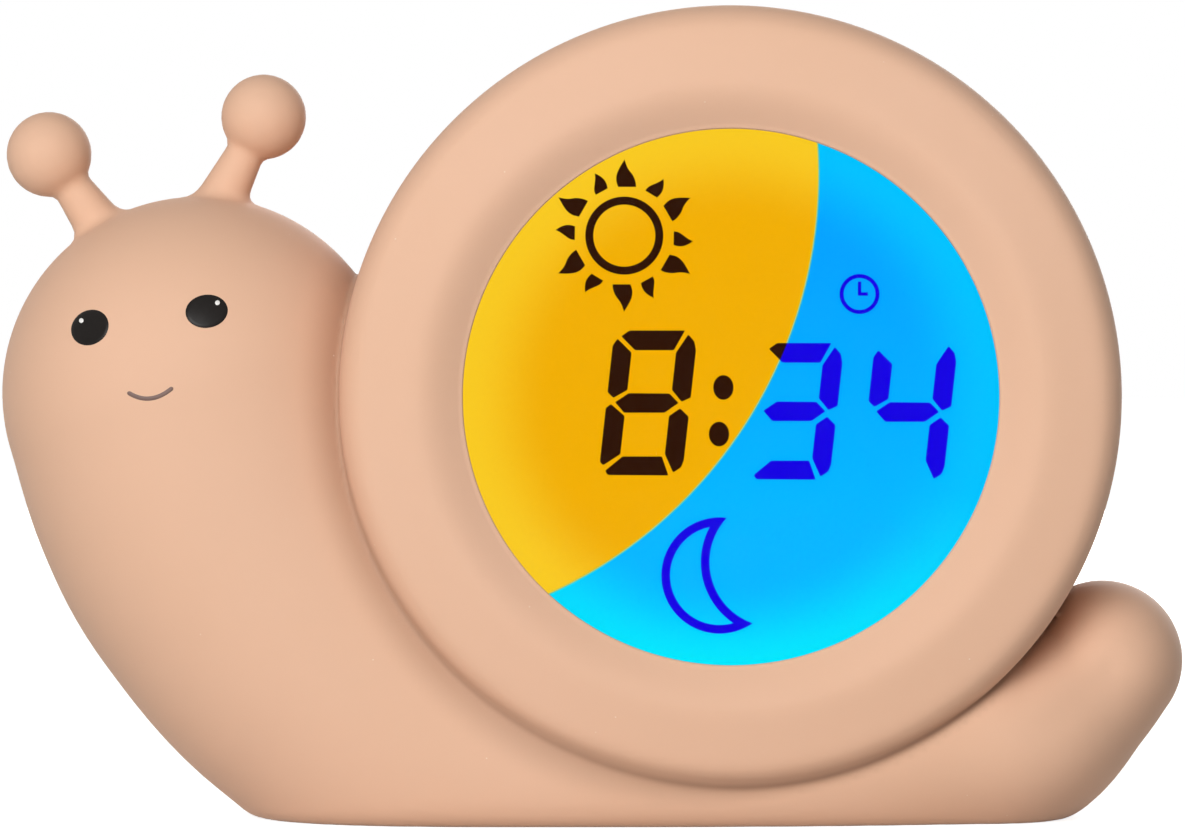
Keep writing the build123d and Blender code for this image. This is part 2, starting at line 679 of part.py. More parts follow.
with BuildPart() as rear_housing:
    with BuildSketch(half_section):
        with BuildLine():
            panel = Polyline((0, panel_inside), (0, panel_face), (panel_radius, panel_face),
                             (panel_radius, -case_half_depth),
                             (case_radius - case_corner, -case_half_depth))
            back_round = RadiusArc(panel @ 1, (case_radius, case_corner - case_half_depth), -case_corner)
            tongue = Polyline(
                back_round @ 1,
                (case_radius, -case_split),
                (case_inner_radius - tongue_fit, -case_split),
                (case_inner_radius - tongue_fit, tongue_length - case_split),
                (case_inner_radius - tongue_fit - tongue_thickness, tongue_length - case_split),
                (case_inner_radius - tongue_fit - tongue_thickness, -case_split - tongue_root),
                (case_inner_radius, -case_split - tongue_root - tongue_thickness),
                (case_inner_radius, inner_corner - case_inner_face))
            inside_round = RadiusArc(tongue @ 1, (case_inner_radius - inner_corner, -case_inner_face),
                                     inner_corner)
            Polyline(inside_round @ 1, (panel_radius - panel_thickness, -case_inner_face),
                     (panel_radius - panel_thickness, panel_inside), (0, panel_inside))
        make_face()
    revolve(axis=shell_axis)
    fillet(rear_housing.edges().filter_by(GeomType.CIRCLE).sort_by(Axis.Y)[-1], panel_round)
    # Screw columns, board posts, the door screw's boss and the fence round the speaker.
    with BuildSketch(front.offset(column_start)):
        with Locations(*boss_places):
            Circle(column_radius)
    extrude(amount=-case_inner_face - column_start)
    with BuildSketch(front.offset(board_face)):
        with Locations(*post_places):
            Circle(board_post_radius)
    extrude(amount=panel_inside - board_face)
    with BuildSketch(front.offset(panel_inside + screw_boss_height)):
        with Locations(lug_place):
            Circle(screw_boss_radius)
    extrude(amount=-screw_boss_height)
    with BuildSketch(front.offset(panel_inside + speaker_fence_height)):
        with Locations(speaker_place):
            Circle(speaker_radius + speaker_fence_fit + speaker_fence_thickness)
            Circle(speaker_radius + speaker_fence_fit, mode=Mode.SUBTRACT)
    extrude(amount=-speaker_fence_height)
    # Battery bay: a box with a deep well for the cells and a trough for the door's hinge.
    with BuildSketch(front.offset(bay_floor + bay_wall)):
        with Locations((0, (door_top + hinge_trough - bay_wall) / 2)):
            Rectangle(2 * (bay_half_length + bay_wall), door_top - hinge_trough + bay_wall)
    extrude(amount=panel_inside - bay_floor - bay_wall)
    with BuildSketch(front.offset(bay_floor)):
        with Locations((0, cell_row_z)):
            Rectangle(2 * bay_half_length, 2 * cell_row_half)
    extrude(amount=panel_face - bay_floor, mode=Mode.SUBTRACT)
    with BuildSketch(front.offset(hinge_height + hinge_radius + door_fit)):
        with Locations((0, (cell_row_z + hinge_trough) / 2)):
            Rectangle(2 * bay_half_length, cell_row_z - hinge_trough)
    extrude(amount=-2 * hinge_radius - door_fit, mode=Mode.SUBTRACT)
    # Opening for the door and its lug, down to the ledge that they rest on.
    extrude(door_outline(door_inside, cell_row_z, door_fit), amount=-door_thickness, mode=Mode.SUBTRACT)
    with Locations((shell_x, -hinge_height, shell_z + hinge_z)):
        Cylinder(hinge_pin_radius + hinge_pin_fit, 2 * (bay_half_length + bay_wall),
                 rotation=(0, 90, 0), mode=Mode.SUBTRACT)
    # Holes: door screw, housing screws, board screws, buttons, slide switch and speaker grille.
    with BuildSketch(front.offset(door_inside)):
        with Locations(lug_place):
            Circle(door_screw_radius + door_screw_fit)
    extrude(amount=door_screw_bite + door_screw_fit, mode=Mode.SUBTRACT)
    with BuildSketch(front.offset(column_start)):
        with Locations(*boss_places):
            Circle(screw_radius + screw_clearance)
    extrude(amount=-column_floor, mode=Mode.SUBTRACT)
    with BuildSketch(front.offset(screw_seat)):
        with Locations(*boss_places):
            Circle(screw_head_radius + screw_head_fit)
    extrude(amount=-case_half_depth - screw_seat, mode=Mode.SUBTRACT)
    with BuildSketch(front.offset(board_face)):
        with Locations(*post_places):
            Circle(board_screw_radius + screw_fit)
    extrude(amount=-board_screw_bite - screw_fit, mode=Mode.SUBTRACT)
    with BuildSketch(front.offset(panel_face)):
        with Locations(*control_row):
            Circle(button_radius + button_fit)
        with Locations((switch_x, control_row_z)):
            Rectangle(switch_knob_length + switch_travel + 2 * switch_knob_fit,
                      switch_knob_width + 2 * switch_knob_fit)
        for grille_row in range(grille_rows):
            row_offset = (grille_row - (grille_rows - 1) / 2) * grille_pitch
            with Locations((0, speaker_z + row_offset)):
                SlotOverall(2 * math.sqrt(grille_radius ** 2 - row_offset ** 2), grille_slot)
    extrude(amount=panel_thickness, mode=Mode.SUBTRACT)
save(rear_housing.part, "rear_housing")

# ---------------------------------------------------------------- housing screws
with BuildPart() as housing_screws:
    for boss_place in boss_places:
        add(slotted_screw(screw_radius, screw_head_radius, screw_head_height, screw_seat,
                          main_board_front + screw_bite, boss_place))
save(housing_screws.part, "housing_screws")

# ---------------------------------------------------------------- button board
board_screw_hole = board_screw_radius + screw_clearance
with BuildPart() as button_board:
    with BuildSketch(front.offset(board_face)):
        with Locations((0, control_row_z)):
            RectangleRounded(button_board_length, button_board_width, board_post_radius / 2)
        with Locations(*post_places):
            Circle(board_screw_hole, mode=Mode.SUBTRACT)
    extrude(amount=board_thickness)
save(button_board.part, "button_board")

with BuildPart() as board_screws:
    for post_place in post_places:
        add(slotted_screw(board_screw_radius, board_screw_head_radius, board_screw_head_height,
                          board_front, board_face - board_screw_bite, post_place))
save(board_screws.part, "board_screws")

with BuildPart() as tact_switches:
    add(block_between(front, tact_face, board_face, tact_side, tact_side, control_row,
                      tact_side / 12))
    with BuildSketch(front.offset(tact_face)):
        with Locations(*control_row):
            Circle(plunger_radius + plunger_fit)
    extrude(amount=plunger_depth + button_travel + plunger_spare, mode=Mode.SUBTRACT)
save(tact_switches.part, "tact_switches")

# ---------------------------------------------------------------- push buttons and their plungers
plunger_top = tact_face - plunger_reach
flange_inner = panel_inside + button_flange_gap + button_flange_thickness
for button_name, button_x in button_places.items():
    place = (button_x, control_row_z)
    with BuildPart() as push_button:
        with BuildSketch(front.offset(flange_inner)):
            with Locations(place):
                Circle(button_flange_radius)
        extrude(amount=-button_flange_thickness)
        with BuildSketch(front.offset(flange_inner)):
            with Locations(place):
                Circle(button_radius)
        extrude(amount=panel_face - button_proud - flange_inner)
        fillet(push_button.edges().filter_by(GeomType.CIRCLE).sort_by(Axis.Y)[-1], button_round)
        with BuildSketch(front.offset(flange_inner)):
            with Locations(place):
                Circle(button_stem_radius)
        extrude(amount=plunger_top - flange_inner)
    save(push_button.part, f"{button_name}_button")
    plunger = cylinder_between(front, plunger_top, tact_face + plunger_depth, plunger_radius, [place])
    save(plunger, f"{button_name}_plunger")

# ---------------------------------------------------------------- alarm slide switch
switch_face = board_face - switch_height
knob_x = switch_x - switch_travel / 2
lever_end = switch_face + switch_lever_depth
with BuildPart() as alarm_switch_body:
    add(block_between(front, switch_face, board_face, switch_length, switch_width,
                      [(switch_x, control_row_z)]))
    with BuildSketch(front.offset(switch_face)):
        with Locations((switch_x, control_row_z)):
            Rectangle(switch_lever + switch_travel + 2 * switch_knob_fit,
                      switch_lever + 2 * switch_knob_fit)
    extrude(amount=switch_lever_depth + switch_knob_fit, mode=Mode.SUBTRACT)
save(alarm_switch_body.part, "alarm_switch_body")

knob_flange_inner = panel_inside + button_flange_gap + switch_flange_thickness
with BuildPart() as alarm_switch_knob:
    add(block_between(front, panel_inside + button_flange_gap, knob_flange_inner,
                      switch_flange_length, switch_flange_width, [(knob_x, control_row_z)]))
    add(block_between(front, panel_face - switch_knob_proud, knob_flange_inner,
                      switch_knob_length, switch_knob_width, [(knob_x, control_row_z)]))
    add(block_between(front, knob_flange_inner, lever_end, switch_lever, switch_lever,
                      [(knob_x, control_row_z)]))
    # Grip grooves across the knob.
    with BuildSketch(front.offset(panel_face - switch_knob_proud)):
        with Locations((knob_x, control_row_z)):
            with GridLocations(2 * switch_rib_width, 1, 3, 1):
                Rectangle(switch_rib_width, switch_knob_width)
    extrude(amount=switch_rib_width, mode=Mode.SUBTRACT)
save(alarm_switch_knob.part, "alarm_switch_knob")

# ---------------------------------------------------------------- speaker
speaker_front = panel_inside + speaker_gasket_thickness
speaker_back = speaker_front + speaker_basket_height
speaker_axis = Axis((shell_x, 0, shell_z + speaker_z), (0, -1, 0))
speaker_section = Plane(origin=(shell_x, 0, shell_z + speaker_z), x_dir=(1, 0, 0), z_dir=(0, 0, -1))
cone_radius = speaker_radius - speaker_ring_width

with BuildPart() as speaker_gasket:
    with BuildSketch(front.offset(panel_inside)):
        with Locations(speaker_place):
            Circle(speaker_radius)
            Circle(cone_radius, mode=Mode.SUBTRACT)
    extrude(amount=speaker_gasket_thickness)
save(speaker_gasket.part, "speaker_gasket")

with BuildPart() as speaker_frame:
    with BuildSketch(speaker_section):
        with BuildLine():
            Polyline((speaker_radius, speaker_front),
                     (speaker_radius, speaker_front + speaker_flange_thickness),
                     (speaker_magnet_radius + speaker_ring_width, speaker_back),
                     (speaker_magnet_radius / 2, speaker_back),
                     (speaker_magnet_radius / 2, speaker_back - speaker_flange_thickness / 2),
                     (speaker_magnet_radius, speaker_back - speaker_flange_thickness / 2),
                     (cone_radius, speaker_front + speaker_flange_thickness),
                     (cone_radius, speaker_front), close=True)
        make_face()
    revolve(axis=speaker_axis)
save(speaker_frame.part, "speaker_frame")

cone_depth = speaker_basket_height / 2
with BuildPart() as speaker_cone:
    with BuildSketch(speaker_section):
        with BuildLine():
            cone_face = Spline((0, speaker_front + cone_depth / 2),
                               (cone_radius / 3, speaker_front + cone_depth),
                               (cone_radius, speaker_front + speaker_cone_wall))
            cone_edge = Line(cone_face @ 1, (cone_radius, speaker_front + 2 * speaker_cone_wall))
            cone_rear = Spline(cone_edge @ 1,
                               (cone_radius / 3, speaker_front + cone_depth + speaker_cone_wall),
                               (0, speaker_front + cone_depth / 2 + speaker_cone_wall))
            Line(cone_rear @ 1, cone_face @ 0)
        make_face()
    revolve(axis=speaker_axis)
save(speaker_cone.part, "speaker_cone")

magnet = cylinder_between(front, speaker_back, speaker_back + speaker_magnet_height,
                          speaker_magnet_radius, [speaker_place])
save(magnet, "speaker_magnet")

# ---------------------------------------------------------------- cells, contacts and springs
cell_turns = [1 if index % 2 == 0 else -1 for index in range(cell_count)]
cell_places = [cell_row_z + (index - (cell_count - 1) / 2) * cell_pitch for index in range(cell_count)]
contact_face = bay_half_length - contact_thickness
nub_end = contact_face - contact_dimple - contact_gap

with BuildPart() as battery_cells:
    for cell_z, turn in zip(cell_places, cell_turns):
        cell_end = Plane(origin=(shell_x + turn * nub_end, -cell_height, shell_z + cell_z),
                         z_dir=(-turn, 0, 0))
        with BuildSketch(cell_end):
            Circle(cell_nub_radius)
        extrude(amount=cell_nub_length)
        with BuildSketch(cell_end.offset(cell_nub_length)):
            Circle(cell_radius)
        extrude(amount=cell_length - cell_nub_length)
save(battery_cells.part, "battery_cells")

with BuildPart() as contact_plates:
    for cell_z, turn in zip(cell_places, cell_turns):
        for end in (turn, -turn):
            plate_face = Plane(origin=(shell_x + end * contact_face, -cell_height, shell_z + cell_z),
                               x_dir=(0, 1, 0), z_dir=(end, 0, 0))
            with BuildSketch(plate_face):
                Rectangle(contact_width, contact_height)
            extrude(amount=contact_thickness)
        dimple_face = Plane(origin=(shell_x + turn * contact_face, -cell_height, shell_z + cell_z),
                            z_dir=(-turn, 0, 0))
        with BuildSketch(dimple_face):
            Circle(contact_dimple_radius)
        with BuildSketch(dimple_face.offset(contact_dimple)):
            Circle(contact_dimple_radius / 2)
        loft()
save(contact_plates.part, "contact_plates")

spring_rise = spring_length - 2 * (spring_wire_radius + spring_gap)
springs = []
for cell_z, turn in zip(cell_places, cell_turns):
    coil_start = (shell_x - turn * (contact_face - spring_wire_radius - spring_gap), -cell_height,
                  shell_z + cell_z)
    coil = Helix(pitch=spring_rise / spring_turns, height=spring_rise, radius=spring_radius,
                 center=coil_start, direction=(turn, 0, 0))
    with BuildPart() as spring:
        with BuildSketch(Plane(origin=coil @ 0, z_dir=coil % 0)):
            Circle(spring_wire_radius)
        sweep(path=coil, is_frenet=True)
    springs.append(spring.part)
with BuildPart() as contact_springs:
    add(springs)
save(contact_springs.part, "contact_springs")

# ---------------------------------------------------------------- battery door and its screw
with BuildPart() as battery_door:
    extrude(door_outline(door_inside, hinge_z, 0), amount=-door_thickness)
    # Round hinge edge with a pin at each end.
    with Locations((shell_x, -hinge_height, shell_z + hinge_z)):
        Cylinder(hinge_radius, 2 * door_half_length, rotation=(0, 90, 0))
        Cylinder(hinge_pin_radius, 2 * (door_half_length + hinge_pin_length), rotation=(0, 90, 0))
    # Seat for the screw head and the hole below it.
    with BuildSketch(front.offset(panel_face)):
        with Locations(lug_place):
            Circle(door_screw_head_radius + door_fit / 2)
    extrude(amount=door_screw_head_height, mode=Mode.SUBTRACT)
    with BuildSketch(front.offset(panel_face)):
        with Locations(lug_place):
            Circle(door_screw_radius + screw_fit)
    extrude(amount=door_thickness, mode=Mode.SUBTRACT)
save(battery_door.part, "battery_door")

door_screw = slotted_screw(door_screw_radius, door_screw_head_radius, door_screw_head_height,
                           panel_face + door_screw_head_height, door_inside + door_screw_bite,
                           lug_place)
save(door_screw, "door_screw")
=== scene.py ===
"""Looks of a kids' alarm clock with night light, shaped as a snail.

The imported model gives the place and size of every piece. This script dresses it: the silicone skin,
the printed face, the lit day and night display with its digits, the panel at the back and what lies
behind it. Lengths in the settings are metres, as Blender shows them. The helpers that work out the
skin and the display use millimetres, and turn them into metres when they make a mesh.
"""
import json
import math

import bmesh
import bpy
import numpy as np
from bpy.props import FloatProperty, PointerProperty, StringProperty
from mathutils import Matrix, Vector
from mathutils.geometry import delaunay_2d_cdt, tessellate_polygon


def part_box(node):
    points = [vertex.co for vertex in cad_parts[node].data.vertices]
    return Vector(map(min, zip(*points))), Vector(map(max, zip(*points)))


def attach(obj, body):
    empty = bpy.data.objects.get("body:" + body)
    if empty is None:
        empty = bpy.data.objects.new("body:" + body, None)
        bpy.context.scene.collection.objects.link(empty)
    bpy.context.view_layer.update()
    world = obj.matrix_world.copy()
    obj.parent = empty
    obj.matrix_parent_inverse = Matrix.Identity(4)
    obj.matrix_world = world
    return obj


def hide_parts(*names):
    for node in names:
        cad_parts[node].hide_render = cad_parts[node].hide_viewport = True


bl_info = {
    "name": "Snail Night Light Clock",
    "version": (1, 0, 0),
    "blender": (4, 5, 0),
    "location": "View3D > Sidebar > Snail Clock",
    "description": "Dresses the frame of a snail-shaped alarm clock with night light",
    "category": "Object",
}

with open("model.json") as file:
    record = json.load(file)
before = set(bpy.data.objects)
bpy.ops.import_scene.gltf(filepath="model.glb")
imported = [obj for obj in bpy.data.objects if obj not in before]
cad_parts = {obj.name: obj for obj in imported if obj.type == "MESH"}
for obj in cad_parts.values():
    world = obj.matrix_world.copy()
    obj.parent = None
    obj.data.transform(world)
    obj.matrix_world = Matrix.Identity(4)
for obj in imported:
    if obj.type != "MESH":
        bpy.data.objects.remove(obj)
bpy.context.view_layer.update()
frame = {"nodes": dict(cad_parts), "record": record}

MM = 0.001
BODY = "clock"


def node_box(node):
    """Lowest and highest corner of a CAD node, in millimetres."""
    low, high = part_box(node)
    return np.array(low) / MM, np.array(high) / MM


lens_low, lens_high = node_box("display_lens")
skin_low, skin_high = node_box("silicone_body")

SHELL_X = (lens_low[0] + lens_high[0]) / 2
SHELL_Z = (lens_low[2] + lens_high[2]) / 2
LENS_OVERLAP = 2.0
WINDOW_RADIUS = (lens_high[0] - lens_low[0]) / 2 - LENS_OVERLAP
CASE_FACE = -lens_low[1]
RING_CREST = skin_high[1]
SHELL_RADIUS = skin_high[2] - SHELL_Z
CELL_FACE = node_box("front_polariser")[0][1]
PANEL_FACE = node_box("rear_housing")[1][1]
PANEL_OPENING = 40.2

# Where the day and the night field meet: an arc round a point left of and above the display.
FIELD_X, FIELD_Z, FIELD_RADIUS = SHELL_X - 51.5, SHELL_Z + 30.7, 63.7


# ------------------------------------------------------------------------------- helpers
def linear(hex_colour):
    """An sRGB hex colour as linear RGBA."""
    channels = [int(hex_colour[i:i + 2], 16) / 255 for i in (1, 3, 5)]
    return (*[c / 12.92 if c <= 0.04045 else ((c + 0.055) / 1.055) ** 2.4 for c in channels], 1.0)


def new_object(name, vertices, faces, material=None, smooth=True, sharp_angle=40.0):
    """A mesh object from vertices in millimetres, welded, closed and with its faces outwards."""
    mesh = bpy.data.meshes.new(name)
    mesh.from_pydata([tuple(np.asarray(v) * MM) for v in vertices], [], [tuple(f) for f in faces])
    build = bmesh.new()
    build.from_mesh(mesh)
    bmesh.ops.remove_doubles(build, verts=build.verts, dist=0.002 * MM)
    bmesh.ops.recalc_face_normals(build, faces=build.faces)
    for edge in build.edges:
        if len(edge.link_faces) == 2:
            edge.smooth = edge.calc_face_angle(0) < math.radians(sharp_angle)
    for face in build.faces:
        face.smooth = smooth
    build.to_mesh(mesh)
    build.free()
    piece = bpy.data.objects.new(name, mesh)
    bpy.context.scene.collection.objects.link(piece)
    if material:
        mesh.materials.append(material)
    return piece


def add_node(tree, kind, *values, **named):
    """A shader or geometry node. The values go to its shown inputs, in order. What is named is either
    a setting of the node or, with _ for each space, one of its inputs."""
    node = tree.nodes.new(kind)
    for name in [name for name in named if hasattr(node, name)]:
        setattr(node, name, named.pop(name))
    for socket, value in zip([socket for socket in node.inputs if socket.enabled], values):
        feed(socket, value)
    for name, value in named.items():
        feed(node.inputs[name.replace("_", " ")], value)
    return node


def feed(socket, value):
    """Sets an input to a value, or links it to an output. A node stands for its first shown output."""
    if isinstance(value, bpy.types.Node):
        value = next(output for output in value.outputs if output.enabled)
    if isinstance(value, bpy.types.NodeSocket):
        socket.id_data.links.new(value, socket)
    else:
        socket.default_value = value


def new_material(name, colour, **sockets):
    """A material with a Principled shader; sockets are constants set on the shader itself."""
    material = bpy.data.materials.new(name)
    material.use_nodes = True
    shader = material.node_tree.nodes["Principled BSDF"]
    shader.inputs["Base Color"].default_value = linear(colour)
    for socket, value in sockets.items():
        feed(shader.inputs[socket.replace("_", " ")], value)
    return material, material.node_tree, shader


def coordinates(tree):
    """The piece's own coordinates, in metres."""
    return add_node(tree, "ShaderNodeTexCoord").outputs["Object"]


def mottle(tree, shader, colour, darker, size, detail=3.0):
    """The colour drifts a little towards a darker one, in patches of the given size in metres."""
    noise = add_node(tree, "ShaderNodeTexNoise", Vector=coordinates(tree), Scale=1 / size, Detail=detail)
    mixed = add_node(tree, "ShaderNodeMix", noise, linear(colour), linear(darker), data_type="RGBA")
    feed(shader.inputs["Base Color"], mixed)
    return mixed


def grain(tree, shader, size, depth, strength):
    """A fine surface grain: bumps of the given size and depth in metres."""
    noise = add_node(tree, "ShaderNodeTexNoise", Vector=coordinates(tree), Scale=1 / size)
    bump = add_node(tree, "ShaderNodeBump", Height=noise, Distance=depth, Strength=strength)
    feed(shader.inputs["Normal"], bump)


def grained(name, colour, darker, patch, size, depth, strength, **sockets):
    """A material whose colour drifts in patches, under a grain of the given size and depth, in metres."""
    material, tree, shader = new_material(name, colour, **sockets)
    mottle(tree, shader, colour, darker, patch)
    grain(tree, shader, size, depth, strength)
    return material


def mesh_places(vertices):
    """Where a mesh's vertices are, in millimetres."""
    return np.array([vertex.co for vertex in vertices]) / MM


def band(first, second, count):
    """Faces between two closed rows of as many vertices, which are numbered from first and second."""
    return [(first + i, first + j, second + j, second + i)
            for i, j in zip(range(count), (*range(1, count), 0))]


def turned(section, turns):
    """Vertices and faces of a section of (radius, depth) places, turned about the shell's axis."""
    angles = np.arange(turns) * 2 * math.pi / turns
    rows = [np.stack([SHELL_X + radius * np.cos(angles), np.full(turns, depth),
                      SHELL_Z + radius * np.sin(angles)], axis=1) for radius, depth in section]
    starts = range(0, (len(section) - 1) * turns, turns)
    faces = [face for start in starts for face in band(start, start + turns, turns)]
    return np.vstack(rows), faces


def fit(piece, body=BODY):
    """The piece moves with the body."""
    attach(piece, body)


def repaint(node, material):
    """Gives a CAD node's object this material alone."""
    node.data.materials.clear()
    node.data.materials.append(material)


# ------------------------------------------------------------------------------- materials
def moulded_silicone(settings):
    """Liquid silicone rubber, moulded against a blasted steel tool: dead matt, soft to the light,
    with a faint bloom at grazing angles and a few specks of the dust that it always draws."""
    material, tree, shader = new_material("moulded_silicone", settings.silicone, Roughness=0.66, IOR=1.43,
                                          Specular_IOR_Level=0.3, Subsurface_Weight=0.03,
                                          Subsurface_Scale=0.001, Subsurface_Radius=(0.9, 0.6, 0.45),
                                          Sheen_Weight=0.05, Sheen_Roughness=0.5)
    even = mottle(tree, shader, settings.silicone, settings.silicone_deep, 0.035, 2.0)
    # Painted shade: a darker colour mixed into the base colour along the crease round the shell, so that it
    # reads as a soft dark line.
    depth = add_node(tree, "ShaderNodeAttribute", attribute_name="crease").outputs["Fac"]
    soft = add_node(tree, "ShaderNodeMix", depth, even, linear(settings.crease_painted_shade), data_type="RGBA")
    # Dust: a speck about 0.2 mm across in one cell of 3 mm out of five, coarser than real lint.
    cells = add_node(tree, "ShaderNodeTexVoronoi", Vector=coordinates(tree), Scale=330.0, Randomness=1.0)
    speck = add_node(tree, "ShaderNodeMath", cells.outputs["Distance"], 0.035, operation="LESS_THAN")
    chance = add_node(tree, "ShaderNodeSeparateColor", cells.outputs["Color"])
    rare = add_node(tree, "ShaderNodeMath", chance, 0.2, operation="LESS_THAN")
    dust = add_node(tree, "ShaderNodeMath", speck, rare, operation="MULTIPLY")
    faint = add_node(tree, "ShaderNodeMath", dust, 0.4, operation="MULTIPLY")
    # The dust specks are laid over the base colour that already holds the painted crease shade.
    dust_and_crease_shade = add_node(tree, "ShaderNodeMix", faint, soft, linear("#FFF4E8"), data_type="RGBA")
    feed(shader.inputs["Base Color"], dust_and_crease_shade)
    grain(tree, shader, 0.0004, 0.00002, 0.25)
    return material


def moulded_abs(name, colour, darker, roughness):
    """ABS with a fine spark-eroded texture: a low even gloss, broken up at a third of a millimetre."""
    return grained(name, colour, darker, 0.02, 0.00035, 0.00002, 0.35, Roughness=roughness, IOR=1.53)


def satin_metal(name, colour, roughness):
    """Plated sheet or wire: bright metal, with a fine uneven sheen left by rolling and plating."""
    return grained(name, colour, "#8F8D88", 0.003, 0.0006, 0.00001, 0.25, Metallic=1.0, Roughness=roughness)


def plain_moulding(name, colour, darker, roughness, size=0.0005):
    """Nylon, foam, epoxy, board, film and matt ink: one colour with the grain of its surface."""
    return grained(name, colour, darker, 0.004, size, 0.00002, 0.3, Roughness=roughness)


def glossy_ink(colour):
    """Pad-printed epoxy ink: thick, levelled and glossy, so it catches the lamps."""
    return grained("glossy_pad_print", colour, "#1E1A18", 0.0006, 0.0008, 0.000005, 0.2, Roughness=0.3,
                   IOR=1.5, Specular_IOR_Level=0.12)


def sleeved_cell():
    """Shrink-wrapped cell: a glossy printed film sleeve, with the plated steel can bare at both ends."""
    low, high = node_box("battery_cells")
    middle, half = (low[0] + high[0]) / 2, (high[0] - low[0]) / 2
    material, tree, shader = new_material("shrink_sleeve", "#39566B", Roughness=0.28)
    sleeve = mottle(tree, shader, "#39566B", "#304B5E", 0.004)
    place = add_node(tree, "ShaderNodeSeparateXYZ", coordinates(tree))
    off_middle = add_node(tree, "ShaderNodeMath", place.outputs["X"], middle * MM, operation="SUBTRACT")
    reach = add_node(tree, "ShaderNodeMath", off_middle, operation="ABSOLUTE")
    # The last 1.6 mm are bare, and a pale band fills the sleeve from there to 6 mm from the end.
    bare, band_start = (add_node(tree, "ShaderNodeMapRange", reach, (half - width - 0.1) * MM,
                                 (half - width) * MM) for width in (1.6, 6.0))
    banded = add_node(tree, "ShaderNodeMix", band_start, sleeve, linear("#C8CDD0"), data_type="RGBA")
    ends = add_node(tree, "ShaderNodeMix", bare, banded, linear("#B9B6AE"), data_type="RGBA")
    feed(shader.inputs["Base Color"], ends)
    feed(shader.inputs["Metallic"], bare)
    return material


def polished_clear(name, ior, glint):
    """Clear sheet, polished, with an anti-reflective coat: light goes through and little glints.
    glint is the share of the bare sheet's reflection that the coat leaves."""
    return new_material(name, "#FFFFFF", Roughness=0.02, IOR=ior, Transmission_Weight=1.0,
                        Specular_Tint=(glint, glint, glint, 1))[0]


def off_axis(tree, x, z):
    """How far a point lies from the line along Y through (x, z), and how high over it, in millimetres."""
    offset = add_node(tree, "ShaderNodeVectorMath", coordinates(tree), (x * MM, 0, z * MM),
                      operation="SUBTRACT")
    flat = add_node(tree, "ShaderNodeVectorMath", offset, (1 / MM, 0, 1 / MM), operation="MULTIPLY")
    distance = add_node(tree, "ShaderNodeVectorMath", flat, operation="LENGTH")
    return distance, add_node(tree, "ShaderNodeSeparateXYZ", flat).outputs["Z"]


def field_distance(tree):
    """How far a point lies outside the arc where the day field ends, in millimetres."""
    from_centre, _ = off_axis(tree, FIELD_X, FIELD_Z)
    return add_node(tree, "ShaderNodeMath", from_centre, FIELD_RADIUS, operation="SUBTRACT")


def lit_opal(name, unlit, middle, rim, glow, seam):
    """Tinted opal sheet, lit from behind: an even glow that pales towards the rim, where the lamps
    are nearest, and along the light leak at the seam. Unlit, it is nearly black behind the glass.
    middle and rim are pairs of colours, at the top and at the bottom."""
    material, tree, shader = new_material(name, unlit, Roughness=0.4, Specular_IOR_Level=0.0,
                                          Emission_Strength=glow)
    radius, height = off_axis(tree, SHELL_X, SHELL_Z)
    colours = []
    for (top, bottom), start, end in ((middle, 0.5, -0.4), (rim, -0.35, -1.0)):
        low = add_node(tree, "ShaderNodeMapRange", height, start * WINDOW_RADIUS, end * WINDOW_RADIUS)
        colours.append(add_node(tree, "ShaderNodeMix", low, linear(top), linear(bottom), data_type="RGBA"))
    near_rim = add_node(tree, "ShaderNodeMapRange", radius, 0.68 * WINDOW_RADIUS, WINDOW_RADIUS,
                        interpolation_type="SMOOTHSTEP")
    body = add_node(tree, "ShaderNodeMix", near_rim, *colours, data_type="RGBA")
    off_seam = add_node(tree, "ShaderNodeMath", field_distance(tree), operation="ABSOLUTE")
    leak = add_node(tree, "ShaderNodeMapRange", off_seam, 0.2, 0.06)
    lit = add_node(tree, "ShaderNodeMix", leak, body, linear(seam), data_type="RGBA")
    feed(shader.inputs["Emission Color"], lit)
    return material


def display_ink(settings):
    """Liquid crystal that is switched on: it blocks the day field to a brown black, and lets only
    deep blue through over the night field."""
    material, tree, shader = new_material("liquid_crystal_ink", "#050505", Roughness=0.5,
                                          Specular_IOR_Level=0.0, Emission_Strength=settings.glow)
    night = add_node(tree, "ShaderNodeMapRange", field_distance(tree), -0.05, 0.05)
    colour = add_node(tree, "ShaderNodeMix", night, linear(settings.day_ink), linear(settings.night_ink),
                      data_type="RGBA")
    feed(shader.inputs["Emission Color"], colour)
    return material


# ------------------------------------------------------------------------------- silicone skin
# Stations along the body, each with half its height across the line and half its depth. The neck's
# lie on an arc on the left and the tail's first on one on the right, with the belly's between them.
# The tail's last run is straight, so its lower edge is, too.
NECK_ARC = (4.43, 72.1, 89.1)
TAIL_ARC = (47.46, 33.6, 38.45)
NECK_STATIONS = [(191.46, 27.8, 27.8), (203.0, 27.6, 27.6), (214.0, 27.0, 27.2), (230.0, 26.0, 26.8),
                 (250.0, 24.0, 26.3)]
BELLY_STATION = (15.0, 9.0, 20.0, 25.8)
TAIL_STATIONS = [(270.0, 17.0, 24.5)]
TAIL_RUN = [(59.7, 12.4, 14.7, 23.8), (68.36, 17.89, 11.8, 19.8), (72.35, 22.26, 11.1, 16.8)]
# Each antenna's ball and the root of its stalk, from the head's middle, and the radii of all three.
ANTENNAE = [((-21.3, 33.8), (-14.2, 23.8)), ((9.1, 39.1), (3.1, 27.4))]
BALL_RADIUS, STALK_RADIUS, ROOT_RADIUS = 6.0, 2.55, 3.5
# How round the sole's edge is, the exponent of the body's section, which is 2 for an oval, and the
# reach over which the runs of the body's line merge.
SOLE_ROUND, FULLNESS, RUN_BLEND = 5.6, 2.15, 1.5
